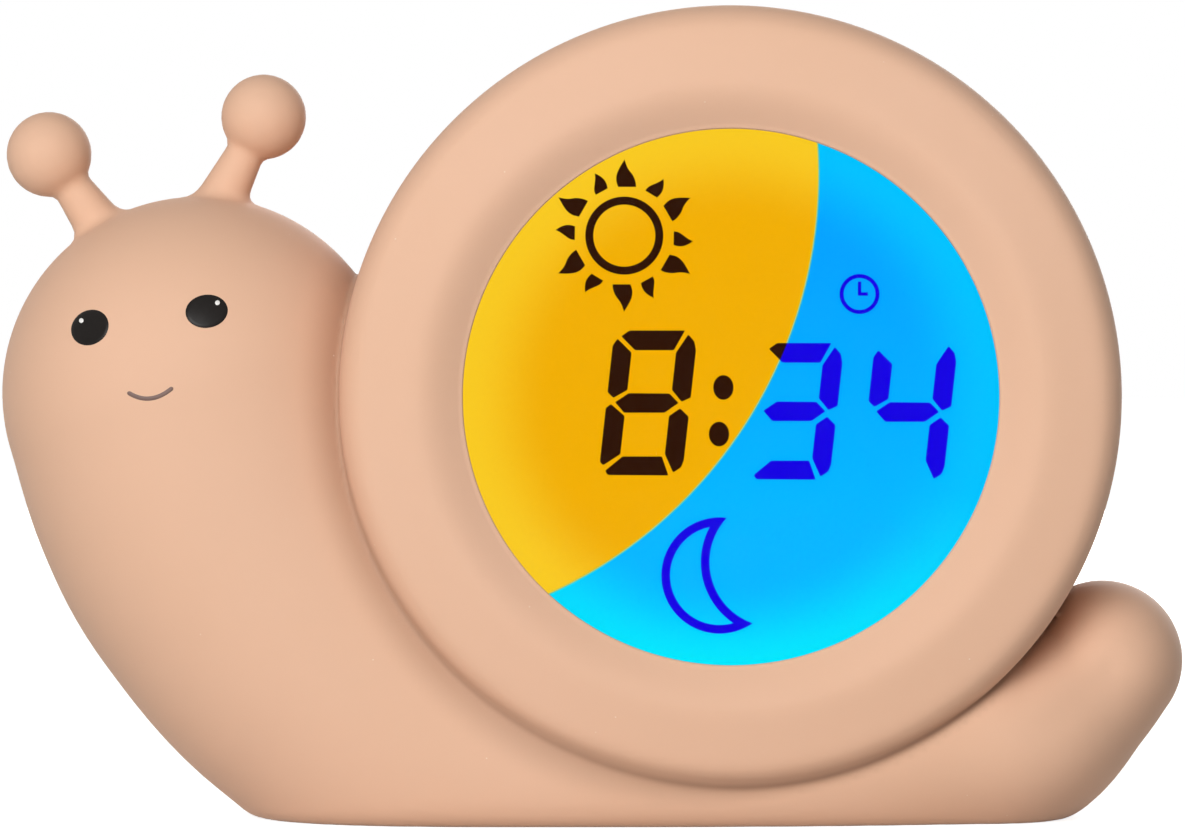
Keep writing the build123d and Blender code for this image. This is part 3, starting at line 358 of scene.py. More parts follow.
# Where the shell's ring is highest, and how steeply its face falls from there to its outer edge.
CREST_RADIUS, FACE_SLOPE = 43.2, 0.2


def on_arc(arc, angle, half_height, half_depth):
    """A station whose outer end lies on the arc: its x, z, half height and half depth."""
    reach = arc[2] - half_height
    return (arc[0] + reach * math.cos(math.radians(angle)), arc[1] + reach * math.sin(math.radians(angle)),
            half_height, half_depth)


def smooth_curve(points, steps):
    """A smooth line through points of any dimension, with so many steps between two of them."""
    points = np.array(points, float)
    padded = np.vstack([2 * points[0] - points[1], points, 2 * points[-1] - points[-2]])
    line = []
    for a, b, c, d in zip(padded[:-3], padded[1:-2], padded[2:-1], padded[3:]):
        for step in range(steps):
            t = step / steps
            line.append(0.5 * (2 * b + (c - a) * t + (2 * a - 5 * b + 4 * c - d) * t ** 2
                               + (3 * b - a - 3 * c + d) * t ** 3))
    return np.array(line + [points[-1]])


def smooth_max(a, b, blend):
    """The larger of two distances, rounded over where they are within blend of each other."""
    overlap = np.maximum(blend - np.abs(a - b), 0) / np.maximum(blend, 1e-6)
    return np.maximum(a, b) + overlap * overlap * blend / 4


def smooth_min(a, b, blend):
    """The smaller of two distances, filled in where they are within blend of each other."""
    return -smooth_max(-a, -b, blend)


def ease(low, high, value):
    """0 below low, 1 above high, smooth between."""
    t = np.clip((value - low) / (high - low), 0, 1)
    return t * t * (3 - 2 * t)


body_stations = [on_arc(NECK_ARC, *station) for station in NECK_STATIONS]
body_stations += [BELLY_STATION]
body_stations += [on_arc(TAIL_ARC, *station) for station in TAIL_STATIONS] + TAIL_RUN
HEAD_X, HEAD_Z = body_stations[0][:2]
body_line = smooth_curve(body_stations, 8)


def slug_distance(x, y, z):
    """Distance outside head, neck, foot and tail, a bar along the body's line, a little fuller in
    section than an oval. From the front it is a row of tapered runs with round ends."""
    gaps, half_heights, half_depths = [], [], []
    for start, end in zip(body_line[:-1], body_line[1:]):
        run_x, run_z = end[0] - start[0], end[1] - start[1]
        length = math.hypot(run_x, run_z)
        taper = (start[2] - end[2]) / length
        along = ((x - start[0]) * run_x + (z - start[1]) * run_z) / length
        aside = np.abs((x - start[0]) * run_z - (z - start[1]) * run_x) / length
        t = np.clip((along - aside * taper / math.sqrt(1 - taper ** 2)) / length, 0, 1)
        half_heights.append(start[2] + t * (end[2] - start[2]))
        half_depths.append(start[3] + t * (end[3] - start[3]))
        gaps.append(np.hypot(along - t * length, aside) - half_heights[-1])
    nearest = np.min(gaps, axis=0)
    weights = np.exp((nearest - gaps) / RUN_BLEND)
    half_height = (weights * half_heights).sum(axis=0) / weights.sum(axis=0)
    half_depth = (weights * half_depths).sum(axis=0) / weights.sum(axis=0)
    across = np.maximum(nearest + half_height, 0) / half_height
    deep = np.abs(y) / half_depth
    share = np.maximum((across ** FULLNESS + deep ** FULLNESS) ** (1 / FULLNESS), 1e-3)
    slope = np.hypot(across ** (FULLNESS - 1) / half_height, deep ** (FULLNESS - 1) / half_depth)
    return (share - 1) / np.maximum(slope * share ** (1 - FULLNESS), 1e-3)


def ring_top(radius):
    """How far the ring's face stands from the middle plane: a crest, then a slope to the outer edge."""
    beyond = np.maximum(radius - CREST_RADIUS, 0)
    return RING_CREST - FACE_SLOPE * (np.sqrt(beyond ** 2 + 1) - 1)


def shell_distance(x, y, z):
    """Distance outside the shell: a disc with a ring on each side and generously rounded edges."""
    corner_out, corner_deep = 3.8, 5.4
    crown, crown_depth = 0.65, 22.0
    radius = np.hypot(x - SHELL_X, z - SHELL_Z)
    depth = np.abs(y)
    edge = SHELL_RADIUS - crown * np.minimum(depth / crown_depth, 1.0) ** 2
    out = (radius - edge + corner_out) / corner_out
    deep = (depth - ring_top(radius) + corner_deep) / corner_deep
    share = np.maximum(np.hypot(np.maximum(out, 0), np.maximum(deep, 0)), 1e-4)
    slope = np.hypot(np.maximum(out, 0) / corner_out, np.maximum(deep, 0) / corner_deep) / share
    rounded = (share - 1) / np.maximum(slope, 1e-4)
    flat = np.maximum((out - 1) * corner_out, (deep - 1) * corner_deep)
    return np.where((out > 0) & (deep > 0), rounded, flat)


def antenna_distance(x, y, z, ball, root):
    """Distance outside one antenna: a ball on a stalk that starts inside the head. The stalk goes on
    below its root by the share buried, and tapers over the share tapered of its length."""
    buried, tapered = 0.35, 0.65
    start = np.array([HEAD_X + root[0], 0, HEAD_Z + root[1]])
    end = np.array([HEAD_X + ball[0], 0, HEAD_Z + ball[1]])
    run = end - start
    t = ((x - start[0]) * run[0] + (z - start[2]) * run[2]) / (run @ run)
    t = np.clip(t, -buried, 1)
    girth = ROOT_RADIUS + (STALK_RADIUS - ROOT_RADIUS) * np.clip(t, 0, tapered) / tapered
    stalk = np.sqrt((x - start[0] - t * run[0]) ** 2 + y ** 2 + (z - start[2] - t * run[2]) ** 2) - girth
    globe = np.sqrt((x - end[0]) ** 2 + y ** 2 + (z - end[2]) ** 2) - BALL_RADIUS
    return smooth_min(stalk, globe, 0.9)


def shell_angle(x, z):
    """Direction from the shell's axis, in degrees from +X towards +Z."""
    return np.degrees(np.arctan2(z - SHELL_Z, x - SHELL_X)) % 360


def standing_slug(x, y, z):
    """Distance outside the slug once it is cut off flat, with a rounded edge, where it stands."""
    step = 0.3
    body = slug_distance(x, y, z)
    lean = np.clip((body - slug_distance(x, y, z + step)) / step, -1, 1)
    return smooth_max(body, -z, SOLE_ROUND * (1 - lean))


def skin_distance(x, y, z):
    """Distance outside the whole snail; the crease round the shell is tightest over the tail."""
    angle = shell_angle(x, z)
    radius = np.hypot(x - SHELL_X, z - SHELL_Z)
    fillet = 1.1 + 0.4 * ease(200, 250, angle) - 0.7 * ease(285, 315, angle)
    # The ring's face takes no fillet, so it ends just inside the shell's edge.
    fillet = fillet * ease(49.0, 51.0, radius)
    solid = smooth_min(standing_slug(x, y, z), shell_distance(x, y, z), fillet)
    stalk_fillet = 1.9
    for ball, root in ANTENNAE:
        solid = smooth_min(solid, antenna_distance(x, y, z, ball, root), stalk_fillet)
    return solid


def slope_of(points, away, step=0.03):
    """Direction in which the distance grows fastest, at points that lie away from the surface."""
    return np.stack([skin_distance(*(points + step * axis).T) - away for axis in np.eye(3)], axis=1) / step


def settle(points, rounds=2):
    """Moves points along the slope onto the surface, by a third of a millimetre a round at most."""
    for _ in range(rounds):
        away = skin_distance(*points.T)
        rise = slope_of(points, away)
        steep = np.maximum(np.linalg.norm(rise, axis=1), 0.5)
        points = points - rise * (np.clip(away / steep, -0.35, 0.35) / steep)[:, None]
    return points


def neighbours(grid, axis):
    """The grid without its last layer along the axis, and without its first: each point and the next."""
    layers = np.moveaxis(grid, axis, 0)
    return np.moveaxis(layers[:-1], 0, axis), np.moveaxis(layers[1:], 0, axis)


def surface_net(spacing):
    """Vertices and four-sided faces of the skin, from a grid of distances with the given spacing."""
    margin, below_floor = 2.0, 2.37
    low = np.array([skin_low[0] - margin, -RING_CREST - margin, -below_floor])
    counts = [int((high - start) / spacing) + 3
              for start, high in zip(low, (skin_high[0], RING_CREST, skin_high[2]))]
    axes = [start + spacing * np.arange(count) for start, count in zip(low, counts)]
    distance = skin_distance(*np.meshgrid(*axes, indexing="ij", sparse=True))
    cell_shape = tuple(count - 1 for count in counts)
    total = np.zeros(cell_shape + (3,))
    crossings = np.zeros(cell_shape)
    for axis in range(3):
        sides = [a for a in range(3) if a != axis]
        near, far = neighbours(distance, axis)
        crossed = (near < 0) != (far < 0)
        share = np.where(crossed, near / np.where(crossed, near - far, 1), 0)
        for corner in ((0, 0), (0, 1), (1, 0), (1, 1)):
            window = [slice(None)] * 3
            for side, first in zip(sides, corner):
                window[side] = slice(first, first + cell_shape[side])
            hit = crossed[tuple(window)]
            crossings += hit
            total[..., axis] += share[tuple(window)] * hit
            for side, first in zip(sides, corner):
                total[..., side] += first * hit
    used = crossings > 0
    index = np.full(cell_shape, -1)
    index[used] = np.arange(used.sum())
    vertices = low + spacing * (np.argwhere(used) + total[used] / crossings[used][:, None])
    faces = []
    for axis in range(3):
        u, v = (axis + 1) % 3, (axis + 2) % 3
        places = np.argwhere(np.not_equal(*neighbours(distance < 0, axis)))
        places = places[(places[:, u] > 0) & (places[:, v] > 0)
                        & (places[:, u] < counts[u] - 1) & (places[:, v] < counts[v] - 1)]
        back_u, back_v = np.eye(3, dtype=int)[[u, v]]
        corners = [places, places - back_u, places - back_u - back_v, places - back_v]
        faces.append(np.stack([index[tuple(corner.T)] for corner in corners], axis=1))
    return vertices, np.vstack(faces)


def crease_distance(places):
    """How far points of the skin lie from the crease between slug and shell, roughly."""
    return np.maximum(np.abs(standing_slug(*places.T)), np.abs(shell_distance(*places.T)))


def shade_crease(mesh):
    """Marks how deep each vertex lies in the crease, as the share of painted shade that it takes: most in
    its bottom and towards the tail, and less a few millimetres up the slug and the shell."""
    places = mesh_places(mesh.vertices)
    off_shell, off_slug = shell_distance(*places.T), standing_slug(*places.T)
    tailward = ease(235, 285, shell_angle(places[:, 0], places[:, 2]))
    width = 6.5 - 4.5 * tailward
    sides = (1 - ease(0, width, off_shell)) * (1 - ease(0, 3.2, off_slug))
    bottom = 1 - ease(0, 1.1, crease_distance(places))
    # Painted shade: each vertex's share of the darker crease colour.
    depth = 0.4 * sides + (0.2 + 0.25 * tailward) * bottom
    mesh.attributes.new("crease", "FLOAT", "POINT").data.foreach_set("value", depth)


def refine_crease(mesh, reach):
    """Halves the faces within reach of the crease between slug and shell, and settles the new points."""
    build = bmesh.new()
    build.from_mesh(mesh)
    places = mesh_places(build.verts)
    near = crease_distance(places) < reach
    chosen = [edge for edge in build.edges if all(near[vertex.index] for vertex in edge.verts)]
    bmesh.ops.subdivide_edges(build, edges=chosen, cuts=1, use_grid_fill=True)
    bmesh.ops.triangulate(build, faces=[face for face in build.faces if len(face.verts) > 4])
    build.verts.ensure_lookup_table()
    places = mesh_places(build.verts)
    moving = crease_distance(places) < reach
    places[moving] = settle(places[moving])
    for vertex, place in zip(build.verts, places):
        vertex.co = place * MM
    build.to_mesh(mesh)
    build.free()


def boundary_loop(faces, keep):
    """The vertices along the open edge of the faces, in order, among those that keep allows."""
    count = {}
    for face in faces:
        for a, b in zip(face, np.roll(face, -1)):
            edge = (min(a, b), max(a, b))
            count[edge] = count.get(edge, 0) + 1
    follow = {}
    for (a, b), times in count.items():
        if times == 1 and keep[a] and keep[b]:
            follow.setdefault(a, []).append(b)
            follow.setdefault(b, []).append(a)
    start = next(iter(follow))
    loop, before = [start], None
    while True:
        onward = [v for v in follow[loop[-1]] if v != before]
        before = loop[-1]
        if onward[0] == start or (len(loop) > 2 and start in onward):
            return loop
        loop.append(onward[0])


def rounded_lip(lip_radius, side):
    """Section of the ring round an opening: dish, rounded lip, underside and the wall behind it."""
    drop, rounding, wall_radius, wall_gap = 2.45, 0.35, 51.0, 0.2
    width = CREST_RADIUS - lip_radius - rounding
    section = []
    for step in range(13):
        t = step / 12
        section.append((CREST_RADIUS - width * t, RING_CREST - drop * (1.6 * t ** 2 - 0.6 * t ** 3)))
    for step in range(1, 5):
        turn = math.pi / 2 * step / 4
        section.append((lip_radius + rounding * (1 - math.sin(turn)),
                        RING_CREST - drop - rounding * (1 - math.cos(turn))))
    section += [(lip_radius, CASE_FACE + wall_gap), (wall_radius, CASE_FACE + wall_gap)]
    return [(radius, side * height) for radius, height in section]


def bridge(outline, side, turns):
    """Vertices and faces that join the net's edge to the crest's circle, on the ring's face."""
    circle = [Vector((SHELL_X + CREST_RADIUS * math.cos(angle), SHELL_Z + CREST_RADIUS * math.sin(angle)))
              for angle in np.arange(turns) * 2 * math.pi / turns]
    edges = [(i, (i + 1) % len(outline)) for i in range(len(outline))]
    edges += [(len(outline) + i, len(outline) + (i + 1) % turns) for i in range(turns)]
    points, _, triangles = delaunay_2d_cdt(outline + circle, edges, [], 1, 1e-5)[:3]
    axis = Vector((SHELL_X, SHELL_Z))
    faces = [triangle for triangle in triangles
             if (sum((points[i] for i in triangle), Vector((0, 0))) / 3 - axis).length
             > CREST_RADIUS * math.cos(math.pi / turns)]
    radius = np.array([(point - axis).length for point in points])
    return np.stack([[point.x for point in points], side * ring_top(radius),
                     [point.y for point in points]], axis=1), faces


def silicone_skin(spacing, turns=288):
    """The whole skin as one closed mesh: the net, and a turned ring round each opening."""
    vertices, faces = surface_net(spacing)
    vertices = settle(vertices)
    from_axis = np.hypot(vertices[:, 0] - SHELL_X, vertices[:, 2] - SHELL_Z)
    # The net is cut away inside both crests, and each edge that this leaves is joined to a ring.
    near_face = np.abs(vertices[:, 1]) > RING_CREST - 1.5
    dropped = (from_axis < CREST_RADIUS + 0.5) & near_face
    faces = faces[~dropped[faces].any(axis=1)]
    parts = [(vertices, faces)]
    for side in (-1, 1):
        keep = near_face & (vertices[:, 1] * side > 0) & (from_axis < CREST_RADIUS + 4)
        loop = boundary_loop(faces, keep)
        vertices[loop, 1] = side * ring_top(from_axis[loop])
        parts.append(bridge([Vector((vertices[i, 0], vertices[i, 2])) for i in loop], side, turns))
    section = rounded_lip(WINDOW_RADIUS, -1) + rounded_lip(PANEL_OPENING, 1)[::-1]
    parts.append(turned(section, turns))
    starts = np.cumsum([0] + [len(part[0]) for part in parts])
    return (np.vstack([part[0] for part in parts]),
            [tuple(start + i for i in face) for start, part in zip(starts, parts) for face in part[1]])


def onto_skin(places, lift):
    """Points on the front of the skin, straight behind the given (x, z) places, lifted off it. They
    start before the skin and walk towards it by most of their distance, until they lie on it."""
    places = np.array(places, float)
    points = np.stack([places[:, 0], np.full(len(places), -RING_CREST - 4), places[:, 1]], axis=1)
    for _ in range(60):
        points[:, 1] += 0.9 * skin_distance(*points.T)
    rise = slope_of(points, skin_distance(*points.T))
    return points + lift * rise / np.linalg.norm(rise, axis=1)[:, None]


def printed_patch(name, rings, material, thickness, crown=0.0):
    """A film of ink on the skin. rings are closed outlines of (x, z) places, from the edge inwards;
    the last is drawn together to its middle. It is let into the skin by half its thickness."""
    count = len(rings[0])
    vertices, faces = [], []
    middle = np.mean(rings[-1], axis=0)
    for side in (1, -1):
        start = len(vertices)
        for step, ring in enumerate(rings):
            rise = crown * (1 - (1 - step / len(rings)) ** 2)
            lift = (0.0 if step == 0 else thickness / 2 + rise) if side > 0 else -thickness / 2
            vertices += list(onto_skin(ring, lift))
            if step:
                faces += band(start + (step - 1) * count, start + step * count, count)
        vertices += list(onto_skin([middle], thickness / 2 + crown if side > 0 else -thickness / 2))
        last = start + (len(rings) - 1) * count
        faces += [(last + i, last + (i + 1) % count, last + count) for i in range(count)]
    return new_object(name, vertices, faces + band(0, len(rings) * count + 1, count), material)


# ------------------------------------------------------------------------------- display symbols
def arc_points(centre, radius, start, end, steps):
    """Points on an arc, in degrees."""
    return [(centre[0] + radius * math.cos(math.radians(start + (end - start) * i / steps)),
             centre[1] + radius * math.sin(math.radians(start + (end - start) * i / steps)))
            for i in range(steps + 1)]


def round_corners(points, reach):
    """The outline with each corner rounded over a short reach along both its sides."""
    rounded = []
    for i, point in enumerate(points):
        corner = Vector(point)
        before, after = Vector(points[i - 1]), Vector(points[(i + 1) % len(points)])
        start = corner + (before - corner).normalized() * min(reach, (before - corner).length / 2.5)
        end = corner + (after - corner).normalized() * min(reach, (after - corner).length / 2.5)
        for t in (0, 0.33, 0.67, 1):
            rounded.append(tuple(start * (1 - t) ** 2 + corner * 2 * t * (1 - t) + end * t ** 2))
    return rounded


def film(outlines, face, thickness, centre=(SHELL_X, SHELL_Z), side=1):
    """Vertices and faces of thin flat films. Each outline is a list of loops of (u, w) places from
    the centre: its edge, then any holes. With side -1, u runs to the left, as seen from behind."""
    vertices, faces = [], []
    for loops in outlines:
        flat = [Vector((u, w, 0)) for loop in loops for u, w in loop]
        offset, count = len(vertices), len(flat)
        for depth in (face, face + thickness):
            vertices += [(centre[0] + side * p.x, depth, centre[1] + p.y) for p in flat]
        for triangle in tessellate_polygon([[Vector((u, w, 0)) for u, w in loop] for loop in loops]):
            faces.append([offset + i for i in triangle])
            faces.append([offset + count + i for i in reversed(triangle)])
        for loop in loops:
            faces += band(offset, offset + count, len(loop))
            offset += len(loop)
    return vertices, faces


def digit_outlines(segments, left, base, width, height):
    """Seven-segment digit: mitred bars with thin gaps, leaning to the right."""
    thick, lean, rounding = 2.72, 0.11, 0.18
    waist, inner = height / 2, width - thick
    shapes = {
        "a": [(1.05, height - 0.8), (2.1, height), (width - 1.8, height), (width - 3.05, height - thick),
              (3.15, height - thick)],
        "b": [(width - 1.3, height - 0.55), (width - 0.36, height - 1.5), (width, height - 2.7),
              (width, waist + 0.75), (width - 1.2, waist + 0.17), (inner, waist + 1.8),
              (inner, height - 3.05)],
        "c": [(width - 1.3, waist - 0.75), (width, waist - 1.9), (width, 2.1), (width - 0.3, 1.1),
              (width - 1.3, 0.4), (inner, 2.95), (inner, waist - 1.8)],
        "d": [(0.86, 0.65), (1.3, 0.05), (width - 1.9, 0), (width - 3.1, 2.62), (3.05, 2.62)],
        "e": [(0.65, waist - 0.15), (0, waist - 0.7), (0, 1.9), (0.5, 1.4), (thick, 2.95),
              (thick, waist - 1.8)],
        "f": [(0.57, height - 1.13), (0, height - 2.1), (0, waist + 1.5), (0.9, waist + 0.7),
              (thick, waist + 1.8), (thick, height - 3.05)],
        "g": [(1.2, waist + 0.1), (2.95, waist + 1.35), (width - 3.0, waist + 1.3), (width - 1.6, waist),
              (width - 3.4, waist - 1.35), (2.6, waist - 1.35)],
    }
    return [[round_corners([(left + u + lean * w, base + w) for u, w in shapes[segment]], rounding)]
            for segment in segments]


def moon_outlines():
    """Crescent drawn as a closed line: an outer circle, bitten by a second one."""
    stroke = 1.2
    full, bite = ((-1.52, -24.65), 8.03), ((6.06, -22.79), 8.97)
    loops = []
    for inset in (0.0, stroke):
        (full_centre, full_radius), (bite_centre, bite_radius) = full, bite
        full_radius, bite_radius = full_radius - inset, bite_radius + inset
        across = Vector(bite_centre) - Vector(full_centre)
        apart = across.length
        along = (full_radius ** 2 - bite_radius ** 2 + apart ** 2) / (2 * apart)
        half_chord = math.sqrt(full_radius ** 2 - along ** 2)
        toward = math.degrees(math.atan2(across.y, across.x))
        opening = math.degrees(math.atan2(half_chord, along))
        closing = math.degrees(math.atan2(half_chord, apart - along))
        outer = arc_points(full_centre, full_radius, toward + opening, toward + 360 - opening, 48)
        inner = arc_points(bite_centre, bite_radius, toward + 180 + closing, toward + 180 - closing, 28)
        loops.append(outer[1:-1] + inner)
    return [loops]


def clock_outlines(centre, radius, stroke):
    """Small clock pictogram: a ring and two hands at a right angle."""
    u, w = centre
    ring = [oval(centre, 2 * edge, 2 * edge, 48) for edge in (radius, radius - stroke)]
    half, up, right = stroke * 0.42, radius * 0.62, radius * 0.42
    hands = [(u - half, w - half), (u + right, w - half), (u + right, w + half), (u + half, w + half),
             (u + half, w + up), (u - half, w + up)]
    return [ring, [hands]]


def oval(centre, across, up, steps=40):
    """Points of an upright oval."""
    return [(centre[0] + across / 2 * math.cos(2 * math.pi * i / steps),
             centre[1] + up / 2 * math.sin(2 * math.pi * i / steps)) for i in range(steps)]


def flame(sides):
    """One ray of the sun, pointing along +u: a flame with one full and one hollow side. Each side is
    a smooth line through its (along, across) places; the first runs to the tip, the second back."""
    out, back = (smooth_curve(side, 5) for side in sides)
    return [tuple(place) for place in (*out, *back[1:])]


def ray_ring(name, count, start_angle, outline, centre, face, material):
    """Rays round the sun, by Geometry Nodes: one flame, copied round a circle."""
    ray = new_object(name + "_ray", *film([[outline]], 0.0, 0.05, (0, 0)))
    tree = bpy.data.node_groups.new(name, "GeometryNodeTree")
    tree.is_modifier = True
    for label, kind in (("Count", "NodeSocketInt"), ("Start Angle", "NodeSocketFloat"),
                        ("Place", "NodeSocketVector")):
        tree.interface.new_socket(label, in_out="INPUT", socket_type=kind)
    tree.interface.new_socket("Geometry", in_out="OUTPUT", socket_type="NodeSocketGeometry")
    given = add_node(tree, "NodeGroupInput").outputs
    points = add_node(tree, "GeometryNodePoints", Count=given["Count"])
    number = add_node(tree, "GeometryNodeInputIndex")
    step = add_node(tree, "ShaderNodeMath", 2 * math.pi, given["Count"], operation="DIVIDE")
    turn = add_node(tree, "ShaderNodeMath", number, step, given["Start Angle"], operation="MULTIPLY_ADD")
    back = add_node(tree, "ShaderNodeMath", turn, -1.0, operation="MULTIPLY")
    spin = add_node(tree, "ShaderNodeCombineXYZ", Y=back)
    shape = add_node(tree, "GeometryNodeObjectInfo", Object=ray)
    copies = add_node(tree, "GeometryNodeInstanceOnPoints", Points=points,
                      Instance=shape.outputs["Geometry"], Rotation=spin)
    placed = add_node(tree, "GeometryNodeTransform", Geometry=copies, Translation=given["Place"])
    real = add_node(tree, "GeometryNodeRealizeInstances", placed)
    coated = add_node(tree, "GeometryNodeSetMaterial", Geometry=real, Material=material)
    add_node(tree, "NodeGroupOutput", coated)
    place = ((SHELL_X + centre[0]) * MM, face * MM, (SHELL_Z + centre[1]) * MM)
    values = {"Count": count, "Start Angle": math.radians(start_angle), "Place": place}
    return plain_mesh(name, tree, values, [ray])


def plain_mesh(name, tree, values, scaffolding):
    """What a Geometry Nodes tree makes, as a plain mesh object; its helpers are removed."""
    carrier = bpy.data.objects.new(name, bpy.data.meshes.new(name + "_carrier"))
    bpy.context.scene.collection.objects.link(carrier)
    modifier = carrier.modifiers.new(name, "NODES")
    modifier.node_group = tree
    sockets = {item.name: item.identifier for item in tree.interface.items_tree
               if item.item_type == "SOCKET" and item.in_out == "INPUT"}
    for label, value in values.items():
        modifier[sockets[label]] = value
    carrier.update_tag()
    graph = bpy.context.evaluated_depsgraph_get()
    mesh = bpy.data.meshes.new_from_object(carrier.evaluated_get(graph))
    carrier.modifiers.remove(modifier)
    carrier.data = mesh
    mesh.name = name
    for helper in scaffolding:
        bpy.data.objects.remove(helper)
    return carrier


# ------------------------------------------------------------------------------- settings
class SnailSkinSettings(bpy.types.PropertyGroup):
    """The silicone body and the face printed on it. Colours are sRGB hex."""
    silicone: StringProperty(
        name="Silicone", description="Colour of the silicone", default="#E9BDA1")
    silicone_deep: StringProperty(
        name="Silicone, deeper", description="Colour that the silicone drifts to", default="#E6B99A")
    # Painted shade: the darker colour mixed into the skin in the crease round the shell.
    crease_painted_shade: StringProperty(
        name="Silicone, crease", description="Colour in the crease round the shell", default="#785440")
    spacing: FloatProperty(
        name="Grid", description="Spacing of the grid that the skin is made from", default=0.00095,
        unit="LENGTH")
    eye: StringProperty(
        name="Eyes", description="Colour of the glossy ink of the eyes", default="#15110F")
    smile: StringProperty(
        name="Smile", description="Colour of the matt ink of the smile", default="#5F4B45")


class DisplaySettings(bpy.types.PropertyGroup):
    """The lit display. Colours are sRGB hex."""
    day: StringProperty(
        name="Day", description="Day field, middle", default="#F3B000")
    day_edge: StringProperty(
        name="Day, rim", description="Day field, rim", default="#FACB22")
    night: StringProperty(
        name="Night", description="Night field, upper middle", default="#00A2FF")
    night_middle_low: StringProperty(
        name="Night, lower", description="Night field, lower middle", default="#00B6FF")
    night_edge: StringProperty(
        name="Night, rim", description="Night field, rim", default="#00C2FF")
    night_low: StringProperty(
        name="Night, low rim", description="Night field, low rim", default="#00E8FF")
    day_ink: StringProperty(
        name="Day ink", description="Symbols over the day field", default="#2C1004")
    night_ink: StringProperty(
        name="Night ink", description="Symbols over the night field", default="#1200E6")
    glow: FloatProperty(
        name="Glow", description="Brightness of the light behind the fields", default=0.98)
    film: FloatProperty(
        name="Symbol film", description="Thickness of the symbols", default=0.00005, unit="LENGTH")


class CaseSettings(bpy.types.PropertyGroup):
    """The plastic case and what is on it. Colours are sRGB hex."""
    case: StringProperty(
        name="Case", description="Colour of the ABS case", default="#EFECE4")
    button: StringProperty(
        name="Buttons", description="Colour of the buttons", default="#F7F5F0")
    sign: StringProperty(
        name="Signs", description="Colour of the panel's pictograms", default="#8C8A86")


class StageSettings(bpy.types.PropertyGroup):
    """Floor, lamps and room."""
    floor: StringProperty(
        name="Floor", description="Colour of the floor, sRGB hex", default="#D6D6D4")
    key: FloatProperty(
        name="Key lamp", description="Power of the key lamp", default=17.5, unit="POWER")
    fill: FloatProperty(
        name="Fill lamp", description="Power of the low lamp in front", default=3.0, unit="POWER")
    back: FloatProperty(
        name="Back lamp", description="Power of the lamp behind", default=12.0, unit="POWER")
    sky: FloatProperty(
        name="Room light", description="Strength of the light from all round", default=0.15)


# ------------------------------------------------------------------------------- operators
class SNAIL_OT_stage(bpy.types.Operator):
    """Floor, soft lamps, white surroundings and the camera in front of the clock"""
    bl_idname = "snail.stage"
    bl_label = "Stage"

    # In metres and degrees. The camera is level with the snail's eyes and looks down a little.
    lens, sensor_width = 193.0, 36.0
    eye, pitch = (0.0, -0.9, 0.068), 0.712
    floor_reach = 6.0
    # Each lamp's size and place, and the height over the middle of the floor at which it aims.
    lamps = {"key": (0.8, (-0.34, -1.45, 0.66), 0.06), "fill": (0.7, (-0.68, -1.3, 0.36), 0.04),
             "back": (0.9, (0.35, 1.5, 0.32), 0.06)}

    def execute(self, context):
        settings, scene = context.scene.snail_stage, context.scene
        scene.view_settings.view_transform = "Standard"
        camera = bpy.data.cameras.new("camera")
        camera.lens, camera.sensor_width = self.lens, self.sensor_width
        camera.clip_start, camera.clip_end = 0.01, 20.0
        scene.camera = self.put("camera", camera, self.eye)
        scene.camera.rotation_euler = (math.radians(90 - self.pitch), 0, 0)
        scene.world = bpy.data.worlds.new("studio")
        scene.world.use_nodes = True
        tree = scene.world.node_tree
        strength = add_node(tree, "ShaderNodeMapRange", self.seen(tree), 0.0, 1.0, settings.sky, 1.0)
        feed(tree.nodes["Background"].inputs["Color"], (1, 1, 1, 1))
        feed(tree.nodes["Background"].inputs["Strength"], strength)
        far = self.floor_reach / MM
        floor = new_object("floor", [(-far, -far, 0), (far, -far, 0), (far, far, 0), (-far, far, 0)],
                           [(0, 1, 2, 3)], self.floor_paper(settings), smooth=False)
        for name, (size, place, aim) in self.lamps.items():
            light = bpy.data.lights.new(name, "AREA")
            light.energy, light.size = getattr(settings, name), size
            lamp = self.put(name, light, place)
            lamp.rotation_mode = "QUATERNION"
            lamp.rotation_quaternion = (Vector((0, 0, aim)) - Vector(place)).to_track_quat("-Z", "Y")
        return {"FINISHED"}

    def put(self, name, data, place):
        """A lamp or camera object at a place."""
        piece = bpy.data.objects.new(name, data)
        piece.location = place
        bpy.context.scene.collection.objects.link(piece)
        return piece

    def floor_paper(self, settings):
        """Matt seamless paper: it takes the clock's shadow, and reads as white to the camera."""
        material, tree, shader = new_material("seamless_paper", settings.floor, Roughness=0.9)
        mottle(tree, shader, settings.floor, "#D2D2D0", 0.2)
        lift = add_node(tree, "ShaderNodeMath", self.seen(tree), 0.85, operation="MULTIPLY")
        feed(shader.inputs["Emission Color"], (1, 1, 1, 1))
        feed(shader.inputs["Emission Strength"], lift)
        return material

    def seen(self, tree):
        """1 for what the camera sees straight, through glass or mirrored, and 0 for light on the clock."""
        path = add_node(tree, "ShaderNodeLightPath").outputs
        clear = add_node(tree, "ShaderNodeMath", path["Is Camera Ray"], path["Is Transmission Ray"],
                         operation="MAXIMUM")
        return add_node(tree, "ShaderNodeMath", clear, path["Is Glossy Ray"], operation="MAXIMUM")


class SNAIL_OT_silicone_skin(bpy.types.Operator):
    """The soft skin of the snail, in one piece with its antennae"""
    bl_idname = "snail.silicone_skin"
    bl_label = "Silicone Skin"

    # The mesh is halved within these distances of the crease, in millimetres, one after the other.
    crease_reaches = (2.0, 1.0)

    def execute(self, context):
        settings = context.scene.snail_skin
        vertices, faces = silicone_skin(settings.spacing / MM)
        skin = new_object("silicone_skin", vertices, faces, moulded_silicone(settings), sharp_angle=60)
        for reach in self.crease_reaches:
            refine_crease(skin.data, reach)
        # Painted shade in the crease round the shell: how much of the crease colour each vertex takes.
        shade_crease(skin.data)
        fit(skin)
        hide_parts("silicone_body")
        return {"FINISHED"}


